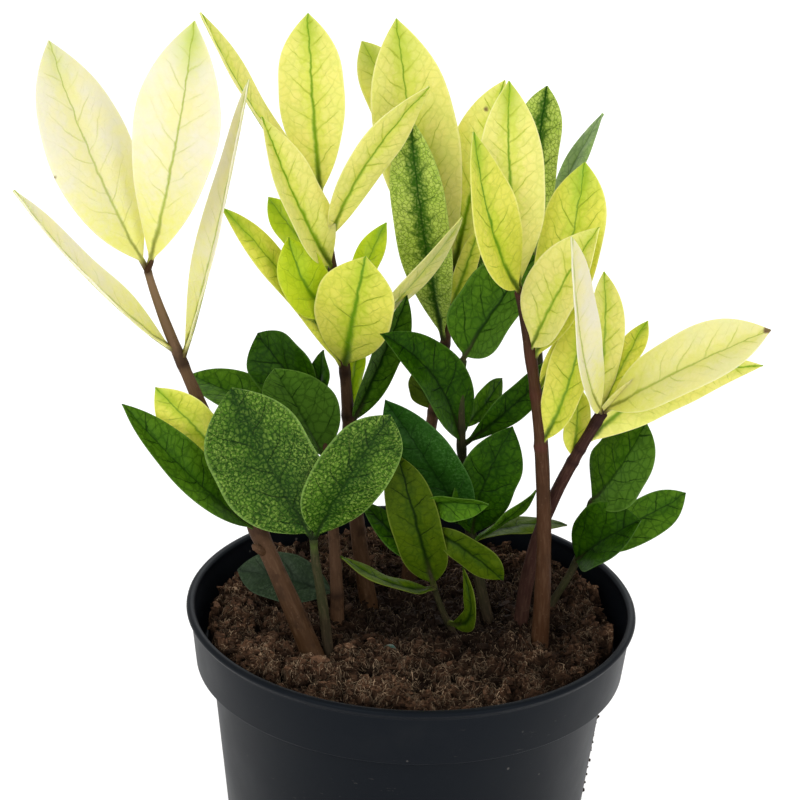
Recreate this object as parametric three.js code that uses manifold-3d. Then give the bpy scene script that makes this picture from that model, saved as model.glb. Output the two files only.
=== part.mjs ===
import * as THREE from 'three';
import { mergeVertices } from 'three/addons/utils/BufferGeometryUtils.js';
import Module from 'manifold-3d';

// A chameleon ZZ plant in its nursery pot: thin plastic pot, potting soil and eleven leafy stems.
// Millimetres and degrees. The origin is the centre of the pot's underside, +Z is up,
// and the side that is looked at faces -Y.

// Pot, a standard 12 cm nursery pot
const POT_HEIGHT = 105;
const RIM_RADIUS = 60;
const LIP_HEIGHT = 2.6;
const LIP_PROUD = 1.2;
const LIP_ROUND = 0.5;
const COLLAR_HEIGHT = 16.5;
const COLLAR_FOOT_RADIUS = 57.2;
const BODY_TOP_RADIUS = 53;
const BODY_FOOT_RADIUS = 43.4;
const FOOT_CHAMFER = 1.5;
const WALL = 1.2;
const POT_SEGMENTS = 48;
const DRAIN_HOLES = 8;
const DRAIN_HOLE_RADIUS = 4;
const DRAIN_CIRCLE_RADIUS = 30;
const DRAIN_SIDES = 12;

// Soil, the root ball and what fills the gap round it
const CLEARANCE = 0.3;
const SOIL_GAP = 0.5;
const SOIL_SHOULDER = 4.5;
const SOIL_LEVEL = 100;
const SOIL_TOP_RADIUS = 54.5;
const SOIL_EDGE_DEPTH = 2.5;
const SOIL_EDGE_ROUND = 1.5;
const SOIL_SEGMENTS = 40;
const SOIL_RINGS = 6;
const LUMP_HEIGHT = 0.8;
const MIDDLE_DIP = 1.6;
const MIDDLE_SPREAD = 22;

// Stems and blades
const STEM_SIDES = 6;
const STEM_RINGS = 8;
const BLADE_THICKNESS = 0.8;
const STALK_HALF_WIDTH = 0.9;
const TIP_HALF_WIDTH = 0.25;
const STALK_SHARE = 0.05;
const WIDE_BLADE = 12;
const LONG_BLADE = 33;
const LONG_STEPS = 7;
const SHORT_STEPS = 5;

// Each frond's stem runs through four points, at its root, at one and two thirds, and at its tip,
// and thins from the first radius to the second. Each leaf grows from the stem at a share of its
// length. Its heading is the compass turn from +X towards +Y and its rise is the slope of its midrib.
// At roll 0 its upper face looks up and back at the stem, and roll turns it about the midrib.
// Fold lifts both halves of the blade from the midrib, arch bows the midrib towards the upper face and
// sway bows it sideways. Belly is where along the leaf it is widest, and swell is how broadly its
// outline bulges on the way to both ends: 2 is a slender lens, 3 is a broad oval.
const FRONDS = [
  {
    name: 'stem_left_tall',
    colour: 0xe3e08c,
    through: [[-23, -24, 94], [-39, -11, 126], [-59, 1, 165], [-71, 3, 197]],
    radius: [3.1, 0.9],
    leaves: [
      { at: 0.98, heading: 162, rise: 65, length: 64, width: 24, roll: -32, fold: 5, sway: -3, swell: 2.4 },
      { at: 0.98, heading: -26, rise: 79, length: 70, width: 24, roll: 92, sway: 2, belly: 0.62, swell: 2 },
      {
        at: 0.74, heading: -170, rise: 48, length: 62, width: 16, roll: -7,
        fold: 19, arch: -2.5, belly: 0.42, swell: 2.3,
      },
      {
        at: 0.72, heading: -11, rise: 78, length: 80, width: 15, roll: 29,
        fold: 19, arch: -1, belly: 0.36, swell: 2.4,
      },
      { at: 0.5, heading: -154, rise: 51, length: 32, width: 14, roll: -114, arch: 1, sway: 1 },
      {
        at: 0.36, heading: -169, rise: 47, length: 52, width: 14, roll: -39,
        fold: 21, sway: -3.5, swell: 2.6,
      },
    ],
  },
  {
    name: 'stem_front_left',
    colour: 0x5f8f3f,
    through: [[-20, -20, 88], [-23, -19, 112], [-25, -18, 123], [-26, -18, 132]],
    radius: [1.5, 1],
    leaves: [
      { at: 0.98, heading: 170, rise: 61, length: 46, width: 29, roll: -84, fold: 17, arch: 3, swell: 2.9 },
      {
        at: 0.98, heading: -10, rise: 63, length: 42, width: 20.5, roll: 116,
        fold: 5, sway: -2, belly: 0.6, swell: 3.5,
      },
    ],
  },
  {
    name: 'stem_left_dark',
    colour: 0x2f6424,
    through: [[-20, -6, 84], [-20, 0, 108], [-23, 4, 138], [-27, 8, 162]],
    radius: [2, 1.1],
    leaves: [
      {
        at: 0.73, heading: -158, rise: 62, length: 32, width: 20, roll: 61,
        fold: 16, arch: 1, belly: 0.48, swell: 2.4,
      },
      { at: 0.95, heading: 154, rise: 40, length: 24, width: 18, roll: -80, fold: 19, swell: 2.7 },
      {
        at: 0.93, heading: -72, rise: 82, length: 17, width: 7, roll: 115,
        belly: 0.45, swell: 2.4, arch: 0,
      },
      {
        at: 0.84, heading: 161, rise: 13, length: 39, width: 13, roll: -30,
        fold: 18, sway: -1.5, belly: 0.6, swell: 2.6,
      },
      {
        at: 0.32, heading: 166, rise: 5, length: 28, width: 14, roll: -43,
        fold: 14, arch: 1.5, swell: 2.7,
      },
    ],
  },
  {
    name: 'stem_centre_left',
    colour: 0xc6cf4a,
    through: [[-8, 7, 85], [-16, 11, 128], [-20, 14, 167], [-28, 18, 214]],
    radius: [2.5, 0.9],
    leaves: [
      { at: 0.66, heading: -67, rise: 71, length: 38, width: 21, roll: 145, belly: 0.62 },
      { at: 0.65, heading: -168, rise: 55, length: 58, width: 10, roll: -40, fold: 5, sway: 1, belly: 0.6 },
      {
        at: 0.77, heading: -151, rise: 58, length: 29, width: 14, roll: -87,
        fold: 14, sway: -3.5, belly: 0.62, swell: 2.4,
      },
      { at: 0.85, heading: 153, rise: 42, length: 27, width: 10, roll: -88, fold: 6, arch: 1, belly: 0.6 },
      { at: 0.74, heading: 37, rise: 64, length: 31, width: 9, roll: 12, arch: 1, belly: 0.6, swell: 2.4 },
      { at: 0.7, heading: -8, rise: 53, length: 50, width: 12, roll: 153, fold: 5, belly: 0.6, swell: 2.4 },
      { at: 0.55, heading: 56, rise: 79, length: 21, width: 6, roll: 66, fold: 5, swell: 2.6, arch: 0 },
      { at: 0.52, heading: -1, rise: 70, length: 41, width: 11, roll: 122, fold: 22, arch: 1 },
      {
        at: 0.86, heading: -155, rise: 65, length: 49, width: 16, roll: -62,
        fold: 25, sway: -3, belly: 0.4, swell: 2.4,
      },
      { at: 0.98, heading: 170, rise: 56, length: 58, width: 14, roll: 2, fold: 19, arch: -2, swell: 2.4 },
      {
        at: 0.98, heading: 118, rise: 78, length: 49, width: 17.5, roll: -37,
        arch: 1.5, belly: 0.62, swell: 2.4,
      },
      { at: 0.91, heading: -7, rise: 61, length: 51, width: 13, roll: 131, fold: 7, sway: -6, swell: 2.4 },
    ],
  },
  {
    name: 'stem_centre',
    colour: 0xdada6a,
    through: [[-1, 21, 82], [1, 25, 123], [5, 28, 155], [8, 29, 190]],
    radius: [2.4, 1],
    leaves: [
      {
        at: 0.8, heading: -133, rise: 76, length: 69, width: 15.5, roll: -155,
        arch: 3, belly: 0.62, swell: 2.6,
      },
      {
        at: 0.98, heading: -180, rise: 76, length: 72, width: 23, roll: -71,
        fold: 15, arch: 3, sway: -3, belly: 0.6, swell: 2.4,
      },
      {
        at: 0.98, heading: 164, rise: 66, length: 67, width: 16.5, roll: -25,
        fold: 5, arch: 3, belly: 0.78, swell: 2.8,
      },
      { at: 0.98, heading: 30, rise: 76, length: 54, width: 17, roll: 28, fold: 20, swell: 2.9 },
      {
        at: 0.89, heading: -32, rise: 73, length: 28, width: 6, roll: 128,
        fold: 14, arch: 1, belly: 0.45, swell: 2.4,
      },
      { at: 0.9, heading: 30, rise: 61, length: 28, width: 8, roll: 87, fold: 5, arch: 1 },
      { at: 0.6, heading: 136, rise: 47, length: 12, width: 8, roll: 170, fold: 5, swell: 2.6, arch: 0 },
    ],
  },
  {
    name: 'stem_centre_dark',
    colour: 0x2c5c2a,
    through: [[25, 1, 86], [17, 3, 115], [12, 5, 145], [11, 9, 173]],
    radius: [1.6, 1],
    leaves: [
      {
        at: 0.98, heading: 18, rise: 56, length: 34, width: 21, roll: 34,
        fold: 28, belly: 0.36, swell: 3.2,
      },
      {
        at: 0.7, heading: -158, rise: 56, length: 43, width: 17, roll: -59,
        fold: 23, sway: 4.5, belly: 0.38, swell: 2.4,
      },
      { at: 0.71, heading: 18, rise: 41, length: 35, width: 9.5, roll: 93, fold: 5, belly: 0.6 },
      {
        at: 0.76, heading: 49, rise: 32, length: 19, width: 7, roll: 73,
        fold: 5, arch: 1, belly: 0.6, swell: 2.6,
      },
      {
        at: 0.44, heading: -154, rise: 58, length: 50, width: 16.5, roll: -118,
        arch: 3, sway: 1.5, swell: 2.7,
      },
      {
        at: 0.42, heading: -22, rise: 74, length: 36, width: 17, roll: 119,
        fold: 17, sway: -2.5, swell: 2.8,
      },
      { at: 0.41, heading: -20, rise: 47, length: 25, width: 6.5, roll: 153, fold: 5, arch: 1, swell: 2.4 },
      {
        at: 0.41, heading: 27, rise: -1, length: 29, width: 7.5, roll: 6,
        fold: 5, arch: 1, sway: -2, belly: 0.6, swell: 2.6,
      },
    ],
  },
  {
    name: 'stem_low_olive',
    colour: 0x5d7d1c,
    through: [[15, -2, 92], [8, -7, 107], [4, -9, 122], [2, -8, 139]],
    radius: [0.9, 0.7],
    leaves: [
      {
        at: 0.48, heading: -167, rise: 74, length: 41, width: 13.5, roll: -109,
        fold: 14, sway: 0.5, belly: 0.48, swell: 4,
      },
      {
        at: 0.48, heading: -167, rise: 24, length: 28, width: 7, roll: -6,
        sway: -5.5, swell: 2.4, arch: 0,
      },
      { at: 0.58, heading: 169, rise: 44, length: 27, width: 8, roll: -26, fold: 6, arch: 0 },
      {
        at: 0.87, heading: -13, rise: -30, length: 25, width: 9, roll: 90,
        fold: 5, arch: 3, sway: -2.5, belly: 0.62,
      },
      { at: 0.98, heading: -18, rise: 10, length: 18, width: 10, roll: 108, fold: 33, sway: -2.5 },
      { at: 0.23, heading: -58, rise: 73, length: 20, width: 5.5, roll: 101, sway: 8.5, belly: 0.42 },
    ],
  },
  {
    name: 'stem_right_tall',
    colour: 0xd2d855,
    through: [[34, -11, 89], [34, -8, 127], [31, -4, 161], [24, 0, 197]],
    radius: [2.4, 1.2],
    leaves: [
      {
        at: 0.98, heading: -146, rise: 70, length: 49, width: 17, roll: -74,
        fold: 20, arch: 3, sway: -6, belly: 0.48,
      },
      { at: 0.98, heading: 156, rise: 84, length: 56, width: 19.5, roll: -38, sway: -2.5, swell: 2.4 },
      {
        at: 0.81, heading: 45, rise: 73, length: 54, width: 18, roll: 13,
        fold: 5, sway: 3, belly: 0.62, swell: 2.8,
      },
      {
        at: 0.84, heading: -24, rise: 66, length: 41, width: 18.5, roll: 67,
        fold: 24, belly: 0.4, swell: 2.4,
      },
      { at: 0.74, heading: 41, rise: 52, length: 28, width: 9, roll: 84, fold: 5, arch: 1 },
      { at: 0.6, heading: 33, rise: 72, length: 38, width: 13, roll: 24, fold: 25, sway: 3, swell: 2.6 },
    ],
  },
  {
    name: 'stem_right_back',
    colour: 0x3d7031,
    through: [[35, 17, 93], [35, 21, 127], [32, 23, 161], [28, 25, 199]],
    radius: [2, 0.9],
    leaves: [
      { at: 0.96, heading: 72, rise: 84, length: 47, width: 13, roll: -11, belly: 0.7, swell: 2.8 },
      {
        at: 0.97, heading: 21, rise: 65, length: 42, width: 9, roll: 0,
        fold: 5, arch: 1, belly: 0.6, swell: 2.4,
      },
    ],
  },
  {
    name: 'stem_right',
    colour: 0xe6e394,
    through: [[29, -2, 83], [31, 1, 115], [37, 0, 139], [48, -3, 165]],
    radius: [2.1, 1.4],
    leaves: [
      {
        at: 0.98, heading: -130, rise: 72, length: 56, width: 14, roll: -75,
        fold: 22, sway: -8.5, swell: 4.5,
      },
      {
        at: 0.98, heading: -10, rise: 34, length: 50, width: 19.5, roll: 37,
        fold: 17, arch: 3, sway: 1, swell: 2.7,
      },
      {
        at: 0.85, heading: 5, rise: 27, length: 52, width: 13.5, roll: 84,
        fold: 20, arch: 3, sway: -7, belly: 0.4, swell: 2.3,
      },
      {
        at: 0.98, heading: 46, rise: 53, length: 27, width: 8, roll: -6,
        fold: 5, arch: 1, belly: 0.66, swell: 2.4,
      },
      { at: 0.95, heading: 88, rise: 69, length: 39, width: 10.5, roll: 26, fold: 19, belly: 0.62 },
      {
        at: 0.8, heading: 88, rise: 73, length: 20, width: 8.5, roll: 28,
        fold: 7, arch: 1, belly: 0.45, swell: 2.6,
      },
    ],
  },
  {
    name: 'stem_right_low',
    colour: 0x2f6a2b,
    through: [[34, 7, 91], [39, 8, 104], [44, 10, 114], [47, 12, 132]],
    radius: [1.2, 0.8],
    leaves: [
      { at: 0.98, heading: -16, rise: 62, length: 29, width: 20, roll: 54, fold: 5, sway: 2.5, swell: 3.2 },
      { at: 0.65, heading: -27, rise: 44, length: 25, width: 20, roll: 54, fold: 31, swell: 2.8 },
      { at: 0.75, heading: 12, rise: 28, length: 32, width: 12.5, roll: 77, fold: 17, swell: 2.8 },
    ],
  },
];

const wasm = await Module();
wasm.setup();

// Joining and cutting

function solidOf(geometry) {
  const bare = geometry.clone();
  bare.deleteAttribute('normal');
  bare.deleteAttribute('uv');
  const merged = mergeVertices(bare, 1e-4);
  return new wasm.Manifold(
    new wasm.Mesh({
      numProp: 3,
      vertProperties: merged.attributes.position.array,
      triVerts: new Uint32Array(merged.index.array),
    }),
  );
}

function geometryOf(solid) {
  const mesh = solid.getMesh();
  const geometry = new THREE.BufferGeometry();
  geometry.setAttribute('position', new THREE.BufferAttribute(mesh.vertProperties, 3));
  geometry.setIndex(new THREE.BufferAttribute(mesh.triVerts, 1));
  geometry.computeVertexNormals();
  return geometry;
}

// A closed surface from rows of points that all run the same way round, with both end rows filled
function skinOver(rows) {
  const across = rows[0].length;
  const positions = rows.flat().flatMap((point) => point.toArray());
  const index = [];
  for (let row = 0; row + 1 < rows.length; row += 1) {
    for (let k = 0; k < across; k += 1) {
      const a = row * across + k;
      const b = row * across + ((k + 1) % across);
      index.push(a, b, b + across, a, b + across, a + across);
    }
  }
  const last = (rows.length - 1) * across;
  for (let k = 1; k + 1 < across; k += 1) {
    index.push(0, k + 1, k, last, last + k, last + k + 1);
  }
  const geometry = new THREE.BufferGeometry();
  geometry.setAttribute('position', new THREE.Float32BufferAttribute(positions, 3));
  geometry.setIndex(index);
  return geometry;
}

// Stems

// The cubic through four points that are spaced evenly from 0 to 1
class StemCurve extends THREE.Curve {
  constructor(points) {
    super();
    this.points = points.map((point) => new THREE.Vector3(...point));
  }

  getPoint(u, target = new THREE.Vector3()) {
    const [a, b, c, d] = this.points;
    const third = u - 1 / 3;
    const twoThirds = u - 2 / 3;
    const end = u - 1;
    return target
      .set(0, 0, 0)
      .addScaledVector(a, -4.5 * third * twoThirds * end)
      .addScaledVector(b, 13.5 * u * twoThirds * end)
      .addScaledVector(c, -13.5 * u * third * end)
      .addScaledVector(d, 4.5 * u * third * twoThirds);
  }
}

function stemGeometry(curve, [rootRadius, tipRadius], extra = 0) {
  const rows = [];
  for (let ring = 0; ring <= STEM_RINGS; ring += 1) {
    const u = ring / STEM_RINGS;
    const centre = curve.getPoint(u);
    const tangent = curve.getTangent(u);
    const side = new THREE.Vector3(0, 1, 0).cross(tangent).normalize();
    const front = tangent.clone().cross(side);
    if (ring === 0) {
      centre.addScaledVector(tangent, -extra);
    }
    const radius = THREE.MathUtils.lerp(rootRadius, tipRadius, u) + extra;
    const row = [];
    for (let k = 0; k < STEM_SIDES; k += 1) {
      const turn = (2 * Math.PI * k) / STEM_SIDES;
      row.push(
        centre
          .clone()
          .addScaledVector(side, radius * Math.cos(turn))
          .addScaledVector(front, radius * Math.sin(turn)),
      );
    }
    rows.push(row);
  }
  return skinOver(rows);
}

// Leaves

// Half the width of a blade at share t of its length, from its stalk to its pointed tip
function halfWidth(t, width, belly, swell) {
  const rootToTip = THREE.MathUtils.lerp(STALK_HALF_WIDTH, TIP_HALF_WIDTH, t);
  const u = (t - STALK_SHARE) / (1 - STALK_SHARE);
  if (u <= 0 || u >= 1) {
    return rootToTip;
  }
  const away = u < belly ? (belly - u) / belly : (u - belly) / (1 - belly);
  return Math.max((width / 2) * (1 - away ** swell), rootToTip);
}

// Where a leaf points, where its upper face looks, and the direction across it
function leafAxes({ heading, rise, roll }) {
  const [turn, slope, spin] = [heading, rise, roll].map(THREE.MathUtils.degToRad);
  const along = new THREE.Vector3(
    Math.cos(turn) * Math.cos(slope),
    Math.sin(turn) * Math.cos(slope),
    Math.sin(slope),
  );
  const upper = new THREE.Vector3(
    -Math.cos(turn) * Math.sin(slope),
    -Math.sin(turn) * Math.sin(slope),
    Math.cos(slope),
  ).applyAxisAngle(along, spin);
  return { along, upper, side: along.clone().cross(upper) };
}

function leafGeometry(root, leaf) {
  const { length, width, fold = 10, arch = 2, sway = 0, belly = 0.54, swell = 2.5 } = leaf;
  const { along, upper, side } = leafAxes(leaf);
  const lift = THREE.MathUtils.degToRad(fold);
  const bow = upper.clone().multiplyScalar(arch).addScaledVector(side, sway);
  const halves = width > WIDE_BLADE ? 2 : 1;
  const steps = length > LONG_BLADE ? LONG_STEPS : SHORT_STEPS;
  const rows = [];
  for (let step = 0; step <= steps; step += 1) {
    const t = (1 - Math.cos((Math.PI * step) / steps)) / 2;
    const middle = root
      .clone()
      .addScaledVector(along, length * t)
      .addScaledVector(bow, 4 * t * (1 - t));
    const tangent = along
      .clone()
      .multiplyScalar(length)
      .addScaledVector(bow, 4 * (1 - 2 * t))
      .normalize();
    const across = tangent.clone().cross(upper).normalize();
    const normal = across.clone().cross(tangent);
    const half = halfWidth(t, width, belly, swell);
    const face = (offset) => {
      const points = [];
      for (let k = -halves; k <= halves; k += 1) {
        const share = k / halves;
        points.push(
          middle
            .clone()
            .addScaledVector(across, half * share * Math.cos(lift))
            .addScaledVector(normal, half * Math.abs(share) * Math.sin(lift) + offset),
        );
      }
      return points;
    };
    rows.push([face(BLADE_THICKNESS / 2), face(-BLADE_THICKNESS / 2)]);
  }
  return bladeGeometry(rows, 2 * halves);
}

// Upper and under face split into the same triangles, closed round the edge and at both ends
function bladeGeometry(rows, columns) {
  const perFace = columns + 1;
  const perRow = 2 * perFace;
  const positions = rows.flat(2).flatMap((point) => point.toArray());
  const index = [];
  const quad = (a, b, c, d) => index.push(a, b, c, a, c, d);
  const upper = (row, k) => row * perRow + k;
  const under = (row, k) => row * perRow + perFace + k;
  const last = rows.length - 1;
  for (let row = 0; row < last; row += 1) {
    for (let k = 0; k < columns; k += 1) {
      quad(upper(row, k), upper(row, k + 1), upper(row + 1, k + 1), upper(row + 1, k));
      quad(under(row + 1, k + 1), under(row, k + 1), under(row, k), under(row + 1, k));
    }
    quad(under(row, 0), upper(row, 0), upper(row + 1, 0), under(row + 1, 0));
    quad(upper(row, columns), under(row, columns), under(row + 1, columns), upper(row + 1, columns));
  }
  for (let k = 0; k < columns; k += 1) {
    quad(under(0, k), under(0, k + 1), upper(0, k + 1), upper(0, k));
    quad(upper(last, k), upper(last, k + 1), under(last, k + 1), under(last, k));
  }
  const geometry = new THREE.BufferGeometry();
  geometry.setAttribute('position', new THREE.Float32BufferAttribute(positions, 3));
  geometry.setIndex(index);
  return geometry;
}

function frondSolid({ through, radius, leaves }) {
  const curve = new StemCurve(through);
  let frond = solidOf(stemGeometry(curve, radius));
  for (const leaf of leaves) {
    frond = frond.add(solidOf(leafGeometry(curve.getPoint(leaf.at), leaf)));
  }
  return frond;
}

// Pot

// The inside of the wall at a height, where the soil lies
function insideRadius(height) {
  const share = height / (POT_HEIGHT - COLLAR_HEIGHT);
  return THREE.MathUtils.lerp(BODY_FOOT_RADIUS, BODY_TOP_RADIUS, share) - WALL;
}

function potGeometry() {
  const collarFoot = POT_HEIGHT - COLLAR_HEIGHT;
  const lipFoot = POT_HEIGHT - LIP_HEIGHT;
  const collarTop = RIM_RADIUS - LIP_PROUD;
  const profile = [
    [0, 0],
    [BODY_FOOT_RADIUS - FOOT_CHAMFER, 0],
    [BODY_FOOT_RADIUS, FOOT_CHAMFER],
    [BODY_TOP_RADIUS, collarFoot - WALL],
    [COLLAR_FOOT_RADIUS, collarFoot],
    [collarTop, lipFoot],
    [RIM_RADIUS, lipFoot + LIP_ROUND],
    [RIM_RADIUS, POT_HEIGHT - LIP_ROUND],
    [RIM_RADIUS - LIP_ROUND, POT_HEIGHT],
    [collarTop - WALL + LIP_ROUND, POT_HEIGHT],
    [collarTop - WALL, lipFoot],
    [COLLAR_FOOT_RADIUS - WALL, collarFoot + WALL],
    [insideRadius(collarFoot), collarFoot],
    [insideRadius(WALL), WALL],
    [0, WALL],
  ];
  const lathe = new THREE.LatheGeometry(
    profile.map(([r, z]) => new THREE.Vector2(r, z)),
    POT_SEGMENTS,
  );
  lathe.rotateX(Math.PI / 2);
  let pot = solidOf(lathe);
  for (let hole = 0; hole < DRAIN_HOLES; hole += 1) {
    const turn = (2 * Math.PI * (hole + 0.5)) / DRAIN_HOLES;
    const depth = 4 * WALL;
    const drill = new THREE.CylinderGeometry(DRAIN_HOLE_RADIUS, DRAIN_HOLE_RADIUS, depth, DRAIN_SIDES);
    drill.rotateX(Math.PI / 2);
    drill.translate(
      DRAIN_CIRCLE_RADIUS * Math.cos(turn),
      DRAIN_CIRCLE_RADIUS * Math.sin(turn),
      WALL / 2,
    );
    pot = pot.subtract(solidOf(drill));
  }
  return geometryOf(pot);
}

// Soil

// Lumps of the soil's top: broad mounds and small clods, and it sinks a little in the wet middle
function lumps(x, y) {
  const mounds = Math.sin(x / 11 + 0.6) * Math.cos(y / 13 - 0.4);
  const clods = Math.sin(x / 4.1 - y / 5.3) + Math.sin(y / 3.7 + x / 6.1 + 1.3);
  const middle = Math.exp(-(x * x + y * y) / MIDDLE_SPREAD ** 2);
  return LUMP_HEIGHT * (mounds + clods / 2) - MIDDLE_DIP * middle;
}

function soilGeometry() {
  const step = POT_HEIGHT - COLLAR_HEIGHT;
  const profile = [
    [0, WALL + CLEARANCE],
    [insideRadius(WALL) - SOIL_GAP, WALL + CLEARANCE],
    [insideRadius(step) - SOIL_GAP, step + CLEARANCE],
    [SOIL_TOP_RADIUS, step + SOIL_SHOULDER],
    [SOIL_TOP_RADIUS, SOIL_LEVEL - SOIL_EDGE_DEPTH],
  ];
  const topRadius = SOIL_TOP_RADIUS - SOIL_EDGE_ROUND;
  for (let ring = 0; ring <= SOIL_RINGS; ring += 1) {
    profile.push([topRadius * (1 - ring / SOIL_RINGS), SOIL_LEVEL]);
  }
  const lathe = new THREE.LatheGeometry(
    profile.map(([r, z]) => new THREE.Vector2(r, z)),
    SOIL_SEGMENTS,
  );
  lathe.rotateX(Math.PI / 2);
  const at = lathe.attributes.position;
  for (let k = 0; k < at.count; k += 1) {
    const [x, y, z] = [at.getX(k), at.getY(k), at.getZ(k)];
    if (z === SOIL_LEVEL) {
      at.setZ(k, z + lumps(x, y));
    }
  }
  let soil = solidOf(lathe);
  for (const { through, radius } of FRONDS) {
    soil = soil.subtract(solidOf(stemGeometry(new StemCurve(through), radius, CLEARANCE)));
  }
  return geometryOf(soil);
}

// Nodes

function addNode(group, name, geometry, colour, roughness) {
  const material = new THREE.MeshStandardMaterial({ color: colour, roughness, metalness: 0 });
  const mesh = new THREE.Mesh(geometry, material);
  mesh.name = name;
  group.add(mesh);
}

const plant = new THREE.Group();
addNode(plant, 'pot', potGeometry(), 0x25282c, 0.55);
addNode(plant, 'soil', soilGeometry(), 0x4a3226, 0.95);
for (const frond of FRONDS) {
  addNode(plant, frond.name, geometryOf(frondSolid(frond)), frond.colour, 0.4);
}

export default plant;
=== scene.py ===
"""Looks of a chameleon ZZ plant in its nursery pot. Metres, +Z up; the viewed side faces -Y."""
import math
import random
from collections import namedtuple

import bmesh
import bpy
import numpy as np
from mathutils import Matrix, Vector, noise


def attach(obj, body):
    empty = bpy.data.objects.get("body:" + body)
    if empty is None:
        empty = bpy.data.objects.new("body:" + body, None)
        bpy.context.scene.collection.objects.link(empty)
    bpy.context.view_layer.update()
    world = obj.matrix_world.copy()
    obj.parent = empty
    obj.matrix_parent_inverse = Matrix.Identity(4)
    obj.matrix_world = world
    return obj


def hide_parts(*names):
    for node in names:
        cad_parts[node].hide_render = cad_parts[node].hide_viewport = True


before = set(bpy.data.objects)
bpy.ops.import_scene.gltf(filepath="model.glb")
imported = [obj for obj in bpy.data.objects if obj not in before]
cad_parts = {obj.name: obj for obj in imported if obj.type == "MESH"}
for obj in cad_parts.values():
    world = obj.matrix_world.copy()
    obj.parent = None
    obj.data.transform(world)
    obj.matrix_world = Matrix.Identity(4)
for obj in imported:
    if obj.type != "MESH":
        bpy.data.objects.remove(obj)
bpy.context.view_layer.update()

bl_info = {
    "name": "Potted chameleon ZZ plant",
    "version": (1, 0, 0),
    "blender": (4, 5, 0),
    "location": "View3D > Sidebar > Plant",
    "description": "Models a young variegated ZZ plant in its nursery pot",
    "category": "Add Mesh",
}

MM = 0.001
RELIEF = 1 * MM  # how far the full height of a material's relief stands out
SEED = 11

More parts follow.
